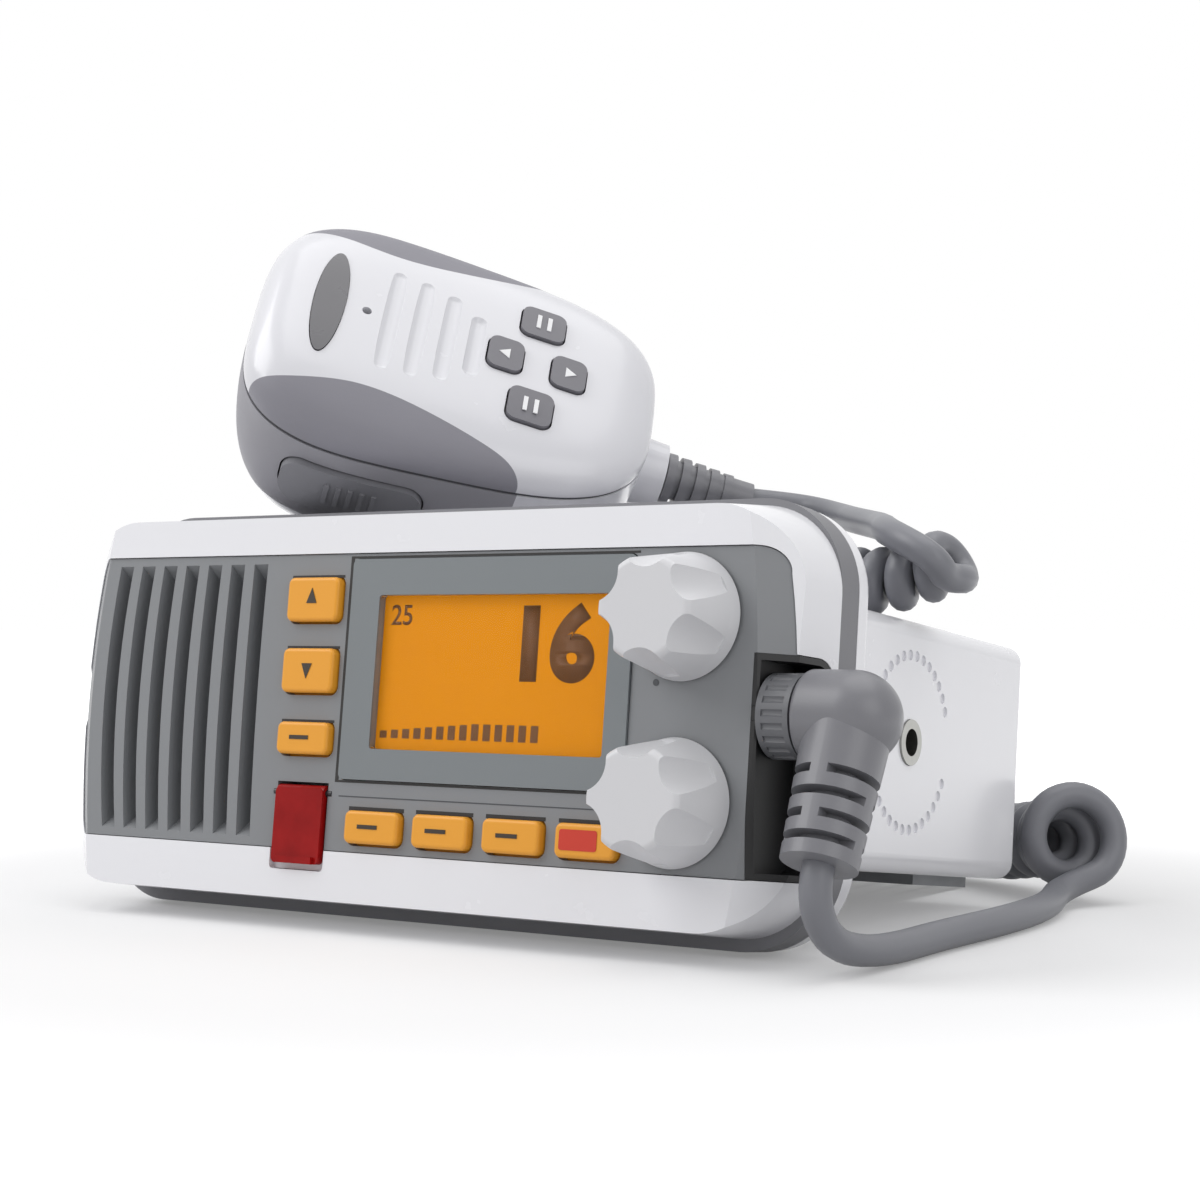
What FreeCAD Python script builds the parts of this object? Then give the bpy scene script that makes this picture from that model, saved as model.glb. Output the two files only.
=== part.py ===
import FreeCAD, Part
import math
import os
from FreeCAD import Placement, Rotation, Vector

os.makedirs("parts", exist_ok=True)

# Fixed-mount VHF marine radio with its fist microphone lying on the case.
# Millimetres. The radio is drawn upright in its own axes: X to the right, Y from the control
# face to the back, Z up, with the middle of the control face at the origin. At the end the whole
# radio leans back until the front flange and the heat sink stand on the floor.

origin_y = 56.73             # from the control face's middle back to the origin

# ---------------------------------------------------------------- shared fits
running_gap = 0.35          # between pieces that move past each other
seat_gap = 0.15             # round a fixed piece in its seat
pin_clearance = 0.06        # radial, a shaft in its hole
screw_clearance = 0.05      # radial, a screw in its hole

# ---------------------------------------------------------------- front end
fold_inset = 6.8            # from the bezel's side in to the fold at the edge of the control face
fold_radius = 190.0         # the folds bow outwards in plan with this radius
facet_slope = 1.2           # sideways run of the facet for each millimetre of depth
front_side_taper = 2.2      # how much narrower the nose is in front, on each side
front_top = 34.9
front_bottom = -36.9
front_corner = 14.0
bezel_half_width = 83.4
bezel_top = 37.0
bezel_bottom = -37.8
bezel_corner = 16.0
bezel_depth = 15.8
bezel_wall = 2.4
panel_recess = 0.4
panel_side_rim = 1.6         # what the bezel keeps beside the widest part of the panel
panel_half_height = 27.6
panel_wall = 2.4
panel_corner = 4.5
panel_bow = 1.9             # how much wider the panel is at mid height than at its corners
gasket_thickness = 6.4
gasket_top = 38.3
gasket_bottom = -40.0
gasket_band = 4.2
flange_thickness = 4.5
flange_inset = 0.2
front_screw_radius = 1.5
front_screw_head = 2.7
front_screw_boss = 3.2

# ---------------------------------------------------------------- case and heat sink
case_side_step = 3.2         # how far the flange stands out past the sides of the case
case_top = 21.4
case_bottom = -25.1
case_depth = 102.0
case_wall = 2.6
case_corner = 3.5
insert_y = 51.3
insert_z = -1.3
insert_radius = 4.2
insert_length = 9.0
insert_bore = 2.5
insert_boss = 6.6
ratchet_radius = 15.9
ratchet_dimple = 1.0
ratchet_depth = 0.5
ratchet_step = 10.0
ratchet_first = 25.0
sink_from_left = 38.2       # from each side of the case to the heat sink
sink_from_right = 22.2
sink_depth = 26.0
sink_plate = 5.5
sink_below_case = 2.3
sink_top_drop = 0.6
fin_thickness = 2.0
fin_pitch = 6.0
rear_screw_radius = 1.6
rear_screw_head = 2.9
rear_screw_inset = 7.0
antenna_from_side = 20.2
antenna_z = 6.0
antenna_thread = 7.9
antenna_length = 14.0
antenna_flange = 12.7
antenna_bore = 4.3
gland_from_side = 12.2
gland_apart = 16.0
gland_z = -16.5
gland_radius = 5.6
gland_bore = 2.6
gland_length = 7.0
gland_neck = 3.9

# ---------------------------------------------------------------- control face
slot_count = 7
slot_first = -71.4
slot_pitch = 5.94
slot_width = 3.5
slot_half_height = 26.0
slot_bow_first = 2.1
slot_bow_step = 0.26
slot_ramp = 3.4
slot_lean = 0.7             # the foot of each slot stands this much further right than its head
grille_depth = 4.6
window_left = -10.8
window_right = 52.0
window_bottom = -14.5
window_top = 26.7
window_thickness = 2.0
window_proud = 0.5
lcd_left = -3.9
lcd_right = 47.2
lcd_bottom = -8.6
lcd_top = 19.8
lcd_margin = 3.0
lcd_thickness = 2.6
pane_thickness = 1.2
key_column = -19.3
key_width = 12.4
key_tall = 8.3
key_short = 6.0
key_proud = 1.6
key_corner = 1.3
key_travel = 0.8
key_gap = 0.45
key_flange = 1.2
key_flange_thickness = 1.0
keypad_gap = 0.15           # between the pressed key and its dome
key_up_z = 19.0
key_down_z = 5.6
key_enter_z = -7.1
key_row_z = -23.0
key_row_first = -1.4
key_row_pitch = 15.6
flap_width = 11.4
flap_bottom = -30.4
flap_thickness = 1.5
flap_proud = 1.0
flap_gap = 0.5
hinge_radius = 0.7
hinge_barrel = 1.45
hinge_z = -17.2
hinge_y = 0.95
alarm_key_width = 8.0
alarm_key_height = 6.6
alarm_key_z = -23.4
alarm_key_front = 2.4
alarm_key_travel = 0.7
alarm_switch_height = 1.5   # room for the switch between the pressed key and the board
pocket_floor = 6.4
knob_x = 62.0
knob_z = 15.7
knob_base_radius = 11.0
knob_base_height = 2.4
knob_crown_radius = 8.9
knob_height = 13.2
knob_gap = 0.6
knob_flutes = 6
flute_radius = 5.3
flute_crown_depth = 2.6       # how deep each scoop is at the knob's front and at its base
flute_base_depth = 1.0
flute_start = 1.2             # from the front of the skirt back to the foot of the scoop's axis
shaft_radius = 3.0
pot_bushing = 4.6
pot_size = 13.0
pot_depth = 8.0

# ---------------------------------------------------------------- inside
board_thickness = 1.6
keypad_thickness = 1.6
front_board_y = 10.6
front_board_left = -26.5
front_board_right = 72.0
front_board_half_height = 27.4
speaker_x = -52.4
speaker_radius = 25.0
speaker_depth = 16.0
main_board_z = -15.0
shield_left = -30.0
shield_right = 46.0
shield_front = 40.0
shield_back = 84.0
shield_height = 9.0
shield_wall = 0.6

# ---------------------------------------------------------------- microphone plug
plug_y = 6.0
plug_z = -0.3
tray_inset = 6.5            # from the bezel's side to the sunk wall that carries the socket
tray_back = 13.9
tray_top = 8.6
tray_bottom = -26.4
tray_wall = 1.1
tray_corner = 3.5
ring_radius = 7.2
ring_length = 6.0
nose_radius = 5.6
nose_length = 4.0
socket_body = 4.0
boot_radius = 7.9
boot_reach = 15.1           # from the sunk wall to the middle of the boot's bend
outlet_setback = 0.8
outlet_tilt = 19.0
outlet_top_radius = 7.4
outlet_foot_radius = 6.4
outlet_reach = 25.5
relief_slots = 4
relief_start = 10.6          # along the outlet to the first slot
relief_pitch = 3.7
relief_slot_width = 1.5
relief_core = 3.9            # radius that the slots leave
relief_web = 3.0             # width of the two webs that bridge each slot

# ---------------------------------------------------------------- microphone
mic_place = Vector(-21.9, 41.0, 71.3)
mic_yaw = 43.3
mic_pitch = 10.0
mic_tilt = 56.4
mic_length = 85.0
mic_width = 60.0
mic_squareness = 3.3
mic_taper = 0.1
mic_stations = (-0.998, -0.985, -0.95, -0.87, -0.7, -0.35, 0, 0.35, 0.7, 0.87, 0.95, 0.985, 0.998)
face_height_head = 11.5
face_height_tail = 6.5
front_fullness = 2.9
front_end_powers = (7.0, 7.0)     # the higher, the squarer the head and the cord end
rear_depth_head = 31.0
rear_depth_tail = 29.0
rear_fullness = 4.6
rear_end_powers = (4.6, 10.0)
mic_wall = 2.0
grip_skin = 0.9
grip_edge = (
    (-46.0, 17.5),
    (-36.0, 21.5),
    (-20.0, 19.5),
    (-4.0, 21.0),
    (8.0, 24.0),
    (15.0, 27.0),
    (18.5, 33.0),
)
rear_grip_end = 17.0
rear_grip_depth = 21.0
seal_thickness = 0.8
badge_u = -28.5
badge_half_length = 14.5
badge_half_width = 3.2
mic_hole_u = -20.8
groove_places = ((-15.6, 13.0), (-9.6, 12.6), (-3.6, 11.0), (2.2, 7.0))
groove_radius = 2.6
groove_depth = 0.7
mic_key_u = 15.4
mic_key_apart = 6.8
mic_key_out = 12.2
mic_key_back = 2.6
mic_key_travel = 0.6
ptt_u = -15.0
ptt_w = -10.2
ptt_length = 29.0
ptt_height = 11.0
ptt_ribs = 5
ptt_travel = 1.2
mic_board_bottom = -3.0
stud_u = -6.0
stud_radius = 7.5
stud_neck = 3.6
stud_length = 6.5
collar_radius = 6.9
collar_length = 6.0
mic_relief_length = 20.0
mic_relief_w = -13.4
mic_relief_root = 4.7
mic_relief_tip = 3.7
mic_relief_rings = 5

# ---------------------------------------------------------------- cord
cord_diameter = 5.4
coil_diameter = 13.0
turn_diameter = 24.0        # the first, slack turn of the coil
turn_length = 8.0
lead_route = (
    (91.4, -63.2, 11.6),
    (91.7, -60.6, 7.6),
    (92.1, -55.4, 4.9),
    (92.6, -47.4, 3.4),
    (92.9, -37.0, 2.75),
    (92.7, -24.5, 2.75),
    (93.3, -12.0, 2.75),
    (94.2, 1.3, 2.75),
    (94.4, 19.3, 2.75),
    (93.4, 34.3, 2.75),
    (91.4, 44.8, 2.9),
    (89.4, 51.8, 3.8),
)
coil_route = (
    (89.8, 51.8, 13.2),
    (75.0, 63.8, 11.2),
    (57.0, 77.3, 7.2),
    (34.0, 80.3, 7.2),
    (13.0, 81.3, 14.0),
    (2.0, 82.8, 36.0),
    (-6.0, 80.3, 57.0),
    (-12.0, 57.3, 58.2),
    (-9.0, 36.0, 65.0),
    (0.0, 17.5, 68.6),
    (19.0, 8.0, 65.6),
    (42.0, 3.0, 64.3),
    (64.0, -0.2, 64.5),
    (80.0, -1.7, 64.7),
)
tail_route = (
    (82.0, 1.3, 69.6),
    (78.0, 14.3, 71.0),
    (68.0, 29.3, 74.0),
    (54.0, 42.3, 78.0),
    (38.0, 51.3, 81.6),
)


# ---------------------------------------------------------------- helpers
def rounded_outline(half_width, top, bottom, radius, y):
    """Closed wire of a rounded rectangle in the plane at depth y."""
    right, left = half_width, -half_width
    return outline_between(left, right, bottom, top, radius, y)


def outline_between(left, right, bottom, top, radius, y):
    k = radius * (1 - math.sqrt(0.5))

    def at(x, z):
        return Vector(x, y, z)

    edges = [
        Part.LineSegment(at(left + radius, top), at(right - radius, top)).toShape(),
        Part.Arc(at(right - radius, top), at(right - k, top - k), at(right, top - radius)).toShape(),
        Part.LineSegment(at(right, top - radius), at(right, bottom + radius)).toShape(),
        Part.Arc(at(right, bottom + radius), at(right - k, bottom + k), at(right - radius, bottom)).toShape(),
        Part.LineSegment(at(right - radius, bottom), at(left + radius, bottom)).toShape(),
        Part.Arc(at(left + radius, bottom), at(left + k, bottom + k), at(left, bottom + radius)).toShape(),
        Part.LineSegment(at(left, bottom + radius), at(left, top - radius)).toShape(),
        Part.Arc(at(left, top - radius), at(left + k, top - k), at(left + radius, top)).toShape(),
    ]
    return Part.Wire(edges)


def plate(wire, depth):
    return Part.Face(wire).extrude(Vector(0, depth, 0))


def block(left, right, front, back, bottom, top):
    return Part.makeBox(right - left, back - front, top - bottom, Vector(left, front, bottom))


def rounded_block(left, right, front, back, bottom, top, radius):
    return plate(outline_between(left, right, bottom, top, radius, front), back - front)


def bar_y(radius, x, z, front, back):
    return Part.makeCylinder(radius, back - front, Vector(x, front, z), Vector(0, 1, 0))


def bar_x(radius, y, z, left, right):
    return Part.makeCylinder(radius, right - left, Vector(left, y, z), Vector(1, 0, 0))


def bar_z(radius, x, y, bottom, top):
    return Part.makeCylinder(radius, top - bottom, Vector(x, y, bottom), Vector(0, 0, 1))


def moved(shape, x=0.0, y=0.0, z=0.0):
    copy = shape.copy()
    copy.translate(Vector(x, y, z))
    return copy


def join(shapes):
    whole = shapes[0]
    if len(shapes) > 1:
        whole = whole.fuse(shapes[1:])
    return whole.removeSplitter()


def less(shape, tools):
    return shape.cut(tools)


# ---------------------------------------------------------------- derived places
gasket_front = bezel_depth
flange_front = gasket_front + gasket_thickness
flange_back = flange_front + flange_thickness
case_back = case_depth
sink_back = case_back + sink_depth
sink_bottom = case_bottom - sink_below_case
sink_top = case_top - sink_top_drop
flange_bottom = gasket_bottom + flange_inset
flange_top = gasket_top - flange_inset
lean = math.degrees(math.atan2(sink_bottom - flange_bottom, sink_back - flange_back))
face_half_width = bezel_half_width - fold_inset      # middle of the control face to the fold
front_half_width = bezel_half_width - front_side_taper
panel_half_width = bezel_half_width - panel_side_rim
case_half_width = bezel_half_width - case_side_step
sink_left = sink_from_left - case_half_width
sink_right = case_half_width - sink_from_right
antenna_x = antenna_from_side - case_half_width
gland_xs = [gland_from_side - case_half_width + gland_apart * i for i in range(2)]
key_row_xs = [key_row_first + key_row_pitch * i for i in range(4)]
key_flange_front = panel_recess + panel_wall + running_gap
keypad_front = key_flange_front + key_flange_thickness + key_travel + keypad_gap
window_front = panel_recess - window_proud
lcd_front = window_front + window_thickness
front_board_back = front_board_y + board_thickness
pot_front = front_board_back + 0.1
bushing_front = panel_recess - 0.5
speaker_front = panel_recess + grille_depth + 0.8
tray_left = bezel_half_width - tray_inset
ring_left = tray_left + 0.5
ring_right = ring_left + ring_length
boot_left = ring_right + running_gap
boot_centre_x = tray_left + boot_reach
outlet_x = boot_centre_x - outlet_setback


def leaned(point):
    """The place of a point of the upright radio once the radio leans back on the floor."""
    s = math.sin(math.radians(lean))
    c = math.cos(math.radians(lean))
    rise = flange_back * s - flange_bottom * c
    return Vector(point.x, point.y * c + point.z * s - origin_y, -point.y * s + point.z * c + rise)


pieces = {}


def keep(name, shape):
    pieces[name] = shape


# ---------------------------------------------------------------- front shells
def front_form(back):
    """The faceted nose of the radio: tapered rounded block between two bowed folds."""
    front = rounded_outline(front_half_width, front_top, front_bottom, front_corner, 0)
    rear = rounded_outline(bezel_half_width, bezel_top, bezel_bottom, bezel_corner, back)
    form = Part.makeLoft([front, rear], True, True)
    reach = fold_radius + facet_slope * back
    for side in (-1, 1):
        middle = Vector(side * (face_half_width - fold_radius), 0, 0)
        form = form.common(Part.makeCone(fold_radius, reach, back, middle, Vector(0, 1, 0)))
    return form


def panel_outline(grow, y):
    """Outline of the control panel: flat top and bottom, bowed ends."""
    half_height = panel_half_height + grow
    corner_x = panel_half_width + grow - panel_bow
    r = panel_corner
    middle_x = panel_half_width + grow
    edges = []
    k = r * (1 - math.sqrt(0.5))
    top_right = Vector(corner_x - r, y, half_height)
    right_top = Vector(corner_x, y, half_height - r)
    right_foot = Vector(corner_x, y, -half_height + r)
    foot_right = Vector(corner_x - r, y, -half_height)
    foot_left = Vector(-corner_x + r, y, -half_height)
    left_foot = Vector(-corner_x, y, -half_height + r)
    left_top = Vector(-corner_x, y, half_height - r)
    top_left = Vector(-corner_x + r, y, half_height)
    edges.append(Part.LineSegment(top_left, top_right).toShape())
    edges.append(Part.Arc(top_right, Vector(corner_x - k, y, half_height - k), right_top).toShape())
    edges.append(Part.Arc(right_top, Vector(middle_x, y, 0), right_foot).toShape())
    edges.append(Part.Arc(right_foot, Vector(corner_x - k, y, k - half_height), foot_right).toShape())
    edges.append(Part.LineSegment(foot_right, foot_left).toShape())
    edges.append(Part.Arc(foot_left, Vector(k - corner_x, y, k - half_height), left_foot).toShape())
    edges.append(Part.Arc(left_foot, Vector(-middle_x, y, 0), left_top).toShape())
    edges.append(Part.Arc(left_top, Vector(k - corner_x, y, half_height - k), top_left).toShape())
    return Part.Wire(edges)


def plug_recess_box(grow):
    """The sunk, open-sided space in the right-hand facet that the plug and its sleeve hang in."""
    body = block(
        tray_left - grow,
        bezel_half_width + 20,
        -10,
        tray_back + grow,
        tray_bottom - grow,
        tray_top + grow,
    )
    along = [e for e in body.Edges if e.BoundBox.XLength > 15 and e.BoundBox.YMin > 0]
    return body.makeFillet(tray_corner + grow, along)


def make_plug_tray():
    """The dark cup that lines the recess; the socket stands on its wall."""
    outer = plug_recess_box(tray_wall).common(moved(front_form(bezel_depth), y=panel_recess))
    hole = bar_x(nose_radius + seat_gap, plug_y, plug_z, tray_left - 3, tray_left + 1)
    return less(outer, [plug_recess_box(0), hole])


def make_bezel():
    form = front_form(bezel_depth)
    inner_front = moved(form, y=bezel_wall + panel_recess)
    core = plate(
        rounded_outline(
            bezel_half_width - bezel_wall - 1.4,
            bezel_top - bezel_wall - 1.4,
            bezel_bottom + bezel_wall + 1.4,
            bezel_corner - bezel_wall,
            -1,
        ),
        bezel_depth + 2,
    )
    opening = plate(panel_outline(seat_gap, -1), bezel_depth + 2)
    notch_half = flap_width / 2 + flap_gap + 0.3
    notch = rounded_block(
        key_column - notch_half,
        key_column + notch_half,
        -1,
        flap_thickness + 1.4,
        flap_bottom - 1.2,
        -panel_half_height + 3,
        0.8,
    )
    shell = less(form, [inner_front.common(core), opening])
    bosses = []
    bores = []
    for x, z in front_screw_places():
        bosses.append(bar_y(front_screw_boss, x, z, bezel_wall, bezel_depth))
        bores.append(bar_y(front_screw_radius + screw_clearance, x, z, bezel_wall + 2, bezel_depth + 1))
    return less(join([shell] + bosses), [notch, plug_recess_box(tray_wall + seat_gap)] + bores)


def slot_face(index, y, shorten):
    """One grille slot, an upright sliver whose sides are shallow arcs."""
    bow = slot_bow_first - slot_bow_step * index
    left = slot_first + slot_pitch * index
    top = slot_half_height - shorten
    foot = -slot_half_height + shorten
    shift = slot_lean * shorten / (2 * slot_half_height)
    head_x = left + shift
    foot_x = left + slot_lean - shift
    middle_x = left + slot_lean / 2 - bow
    width = slot_width
    edges = [
        Part.LineSegment(Vector(head_x, y, top), Vector(head_x + width, y, top)).toShape(),
        Part.Arc(
            Vector(head_x + width, y, top),
            Vector(middle_x + width, y, 0),
            Vector(foot_x + width, y, foot),
        ).toShape(),
        Part.LineSegment(Vector(foot_x + width, y, foot), Vector(foot_x, y, foot)).toShape(),
        Part.Arc(Vector(foot_x, y, foot), Vector(middle_x, y, 0), Vector(head_x, y, top)).toShape(),
    ]
    return Part.Wire(edges)


def grille_slot(index):
    """A slot whose ends ramp down from the face to the back of the grille."""
    ahead = -0.5
    behind = grille_depth + 1.5
    slope = slot_ramp / grille_depth
    start = slot_face(index, ahead, slope * (ahead - panel_recess))
    finish = slot_face(index, behind, slope * (behind - panel_recess))
    return Part.makeLoft([start, finish], True, True)


def key_sizes():
    """Centre and height of the seven face keys, by node name."""
    keys = {
        "key_channel_up": (key_column, key_up_z, key_tall),
        "key_channel_down": (key_column, key_down_z, key_tall),
        "key_enter": (key_column, key_enter_z, key_short),
    }
    for number, x in enumerate(key_row_xs, start=1):
        keys["key_row_%d" % number] = (x, key_row_z, key_short)
    return keys


def pocket_box(grow, back):
    half = flap_width / 2 + flap_gap + grow
    return block(
        key_column - half,
        key_column + half,
        -1,
        back,
        -panel_half_height - 1,
        hinge_z + hinge_barrel + flap_gap + grow,
    )


def make_panel():
    form = moved(front_form(bezel_depth), y=panel_recess)
    skin = less(form, [moved(form, y=panel_wall)])
    panel = skin.common(plate(panel_outline(0, -1), panel_wall + 9))
    grille_half = slot_half_height + 0.9
    grille_back = block(
        slot_first - slot_bow_first - 0.6,
        slot_first + slot_pitch * (slot_count - 1) + slot_width + 2.0,
        panel_recess + panel_wall - 0.4,
        panel_recess + grille_depth,
        -grille_half,
        grille_half,
    )
    alarm_cup = block(
        key_column - flap_width / 2 - flap_gap - 1.2,
        key_column + flap_width / 2 + flap_gap + 1.2,
        panel_recess + panel_wall - 0.4,
        pocket_floor + 1.2,
        -panel_half_height,
        hinge_z + hinge_barrel + flap_gap + 1.2,
    )
    panel = join([panel, grille_back, alarm_cup])
    cuts = [grille_slot(i) for i in range(slot_count)]
    window_cut_back = panel_recess + panel_wall + 0.2
    cuts.append(
        rounded_block(window_left, window_right, -1, window_cut_back, window_bottom, window_top, 1.2)
    )
    for x, z, height in key_sizes().values():
        half_w = key_width / 2 + key_gap
        half_h = height / 2 + key_gap
        cuts.append(
            rounded_block(x - half_w, x + half_w, -1, 5, z - half_h, z + half_h, key_corner + key_gap)
        )
    cuts.append(pocket_box(0, pocket_floor))
    cuts.append(
        rounded_block(
            key_column - alarm_key_width / 2 - key_gap,
            key_column + alarm_key_width / 2 + key_gap,
            -1,
            12,
            alarm_key_z - alarm_key_height / 2 - key_gap,
            alarm_key_z + alarm_key_height / 2 + key_gap,
            1.0,
        )
    )
    reach = flap_width / 2 + flap_gap + 0.9
    cuts.append(
        bar_x(hinge_radius + screw_clearance, hinge_y, hinge_z, key_column - reach, key_column + reach)
    )
    for side in (1, -1):
        cuts.append(bar_y(pot_bushing + pin_clearance, knob_x, side * knob_z, -1, 5))
    cuts.append(plug_recess_box(tray_wall + 0.05))
    return less(panel, cuts)


def make_gasket():
    outer = plate(
        rounded_outline(bezel_half_width - 0.1, gasket_top, gasket_bottom, bezel_corner, gasket_front),
        gasket_thickness,
    )
    inner = plate(
        rounded_outline(
            bezel_half_width - gasket_band,
            gasket_top - gasket_band,
            gasket_bottom + gasket_band,
            bezel_corner - gasket_band,
            gasket_front - 1,
        ),
        gasket_thickness + 2,
    )
    return less(outer, [inner])


def insert_places():
    return ((1, case_half_width), (-1, -case_half_width))


def make_housing():
    flange = plate(
        rounded_outline(bezel_half_width, flange_top, flange_bottom, bezel_corner, flange_front),
        flange_thickness,
    )
    flange_edges = [e for e in flange.Edges if abs(e.BoundBox.YMin - flange_back) < 0.01]
    flange_edges = [e for e in flange_edges if e.BoundBox.YLength < 0.01]
    flange = flange.makeFillet(1.6, flange_edges)
    box = rounded_block(
        -case_half_width, case_half_width, flange_front + 1, case_back, case_bottom, case_top, case_corner
    )
    rear_edges = [e for e in box.Edges if abs(e.BoundBox.YMin - case_back) < 0.01]
    rear_edges = [e for e in rear_edges if e.BoundBox.YLength < 0.01]
    box = box.makeFillet(2.0, rear_edges)
    shell = join([flange, box])
    hollow = rounded_block(
        -case_half_width + case_wall,
        case_half_width - case_wall,
        flange_front - 1,
        case_back - case_wall,
        case_bottom + case_wall,
        case_top - case_wall,
        case_corner - case_wall / 2,
    )
    shell = less(shell, [hollow])
    bosses = []
    cuts = []
    for side, wall_x in insert_places():
        inner = wall_x - side * (insert_length + 1.0)
        lo, hi = sorted((inner, wall_x - side * 1.0))
        bosses.append(bar_x(insert_boss, insert_y, insert_z, lo, hi))
        lo, hi = sorted((wall_x - side * insert_length, wall_x + side * 1.0))
        cuts.append(bar_x(insert_radius + screw_clearance, insert_y, insert_z, lo, hi))
        angle = ratchet_first
        while angle <= 180 - ratchet_first + 0.1:
            for flip in (1, -1):
                y = insert_y + ratchet_radius * math.cos(math.radians(angle))
                z = insert_z + flip * ratchet_radius * math.sin(math.radians(angle))
                lo, hi = sorted((wall_x - side * ratchet_depth, wall_x + side * 1.0))
                cuts.append(bar_x(ratchet_dimple, y, z, lo, hi))
            angle += ratchet_step
    for x, z in rear_screw_places():
        bosses.append(bar_y(rear_screw_radius + 2.0, x, z, case_back - 12, case_back - 1))
        cuts.append(bar_y(rear_screw_radius + screw_clearance, x, z, case_back - 11, case_back + 1))
    for x, z, radius in rear_ports():
        cuts.append(bar_y(radius + seat_gap, x, z, case_back - 6, case_back + 1))
    for x, z in front_screw_places():
        cuts.append(bar_y(front_screw_radius + screw_clearance, x, z, flange_front - 1, flange_back + 1))
    return less(join([shell] + bosses + board_posts()), cuts)


def front_screw_places():
    x = bezel_half_width - 13.0
    high = flange_top - 7.0
    low = flange_bottom + 6.5
    return [(-x, high), (x, high), (-x, low), (x, low)]


def rear_screw_places():
    left = sink_left + 1.5 * fin_pitch
    right = sink_right - 1.5 * fin_pitch
    high = sink_top - rear_screw_inset
    low = case_bottom + rear_screw_inset
    return [(left, high), (right, high), (left, low), (right, low)]


# ---------------------------------------------------------------- back of the case
def rear_ports():
    ports = [(antenna_x, antenna_z, antenna_thread)]
    for x in gland_xs:
        ports.append((x, gland_z, gland_neck))
    return ports


def make_heat_sink():
    base = block(sink_left, sink_right, case_back, case_back + sink_plate, sink_bottom, sink_top)
    fins = []
    count = int(round((sink_right - sink_left - fin_thickness) / fin_pitch)) + 1
    step = (sink_right - sink_left - fin_thickness) / (count - 1)
    for i in range(count):
        left = sink_left + step * i
        fins.append(
            block(left, left + fin_thickness, case_back + sink_plate - 1, sink_back, sink_bottom, sink_top)
        )
    sink = join([base] + fins)
    holes = []
    plate_back = case_back + sink_plate
    for x, z in rear_screw_places():
        holes.append(bar_y(rear_screw_radius + screw_clearance, x, z, case_back - 1, plate_back + 1))
        holes.append(bar_y(rear_screw_head + 0.3, x, z, plate_back, sink_back + 1))
    return less(sink, holes)


def make_rear_screws():
    screws = []
    for x, z in rear_screw_places():
        shank = bar_y(rear_screw_radius, x, z, case_back - 9, case_back + sink_plate + 1)
        head = bar_y(rear_screw_head, x, z, case_back + sink_plate, case_back + sink_plate + 2.2)
        screws.append(join([shank, head]))
    return Part.makeCompound(screws)


def make_front_screws():
    """Four screws from behind the flange, through the gasket, into the bezel."""
    screws = []
    for x, z in front_screw_places():
        shank = bar_y(front_screw_radius, x, z, gasket_front - 7, flange_back + 1)
        head = bar_y(front_screw_head, x, z, flange_back, flange_back + 2.0)
        screws.append(join([shank, head]))
    return Part.makeCompound(screws)


def make_antenna_socket():
    """A threaded coaxial socket with a square flange outside the back wall."""
    back = case_back
    flange = rounded_block(
        antenna_x - antenna_flange,
        antenna_x + antenna_flange,
        back,
        back + 2.0,
        antenna_z - antenna_flange,
        antenna_z + antenna_flange,
        1.5,
    )
    barrel = bar_y(antenna_thread, antenna_x, antenna_z, back - 5, back + antenna_length)
    bore = bar_y(antenna_bore + 1.9, antenna_x, antenna_z, back + 1, back + antenna_length + 1)
    core = bar_y(antenna_bore, antenna_x, antenna_z, back, back + antenna_length - 1)
    hole = bar_y(2.05, antenna_x, antenna_z, back + 2, back + antenna_length + 1)
    return join([less(join([flange, barrel]), [bore]), less(core, [hole])])


def make_gland(x):
    """A rubber lead gland: neck in the wall, domed collar outside, bore through."""
    collar = Part.makeCone(
        gland_radius, gland_radius - 1.6, gland_length, Vector(x, case_back, gland_z), Vector(0, 1, 0)
    )
    neck = bar_y(gland_neck, x, gland_z, case_back - case_wall - 1, case_back + 1)
    bore = bar_y(gland_bore, x, gland_z, case_back - case_wall - 2, case_back + gland_length + 1)
    return less(join([collar, neck]), [bore])


def make_inserts():
    inserts = []
    for side, wall_x in insert_places():
        inner = wall_x - side * (insert_length - 0.3)
        lo, hi = sorted((inner, wall_x + side * 0.4))
        body = bar_x(insert_radius, insert_y, insert_z, lo, hi)
        bore = bar_x(insert_bore, insert_y, insert_z, lo - 1, hi + 1)
        inserts.append(less(body, [bore]))
    return Part.makeCompound(inserts)


# ---------------------------------------------------------------- face fittings
def make_display_frame():
    frame = rounded_block(
        window_left + seat_gap,
        window_right - seat_gap,
        window_front,
        window_front + window_thickness,
        window_bottom + seat_gap,
        window_top - seat_gap,
        1.1,
    )
    opening = rounded_block(
        lcd_left, lcd_right, window_front - 1, window_front + 4, lcd_bottom, lcd_top, 0.6
    )
    return less(frame, [opening])


def make_display_pane():
    front = window_front + 0.3
    return rounded_block(
        lcd_left + 0.1, lcd_right - 0.1, front, front + pane_thickness, lcd_bottom + 0.1, lcd_top - 0.1, 0.5
    )


def make_lcd():
    return block(
        lcd_left - lcd_margin,
        lcd_right + lcd_margin,
        lcd_front + 0.1,
        lcd_front + 0.1 + lcd_thickness,
        lcd_bottom - lcd_margin,
        lcd_top + lcd_margin,
    )


def make_light_guide():
    front = lcd_front + 0.2 + lcd_thickness
    return block(
        lcd_left - lcd_margin - 1,
        lcd_right + lcd_margin + 1,
        front,
        front_board_y - 0.1,
        lcd_bottom - lcd_margin - 1,
        lcd_top + lcd_margin + 1,
    )


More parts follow.
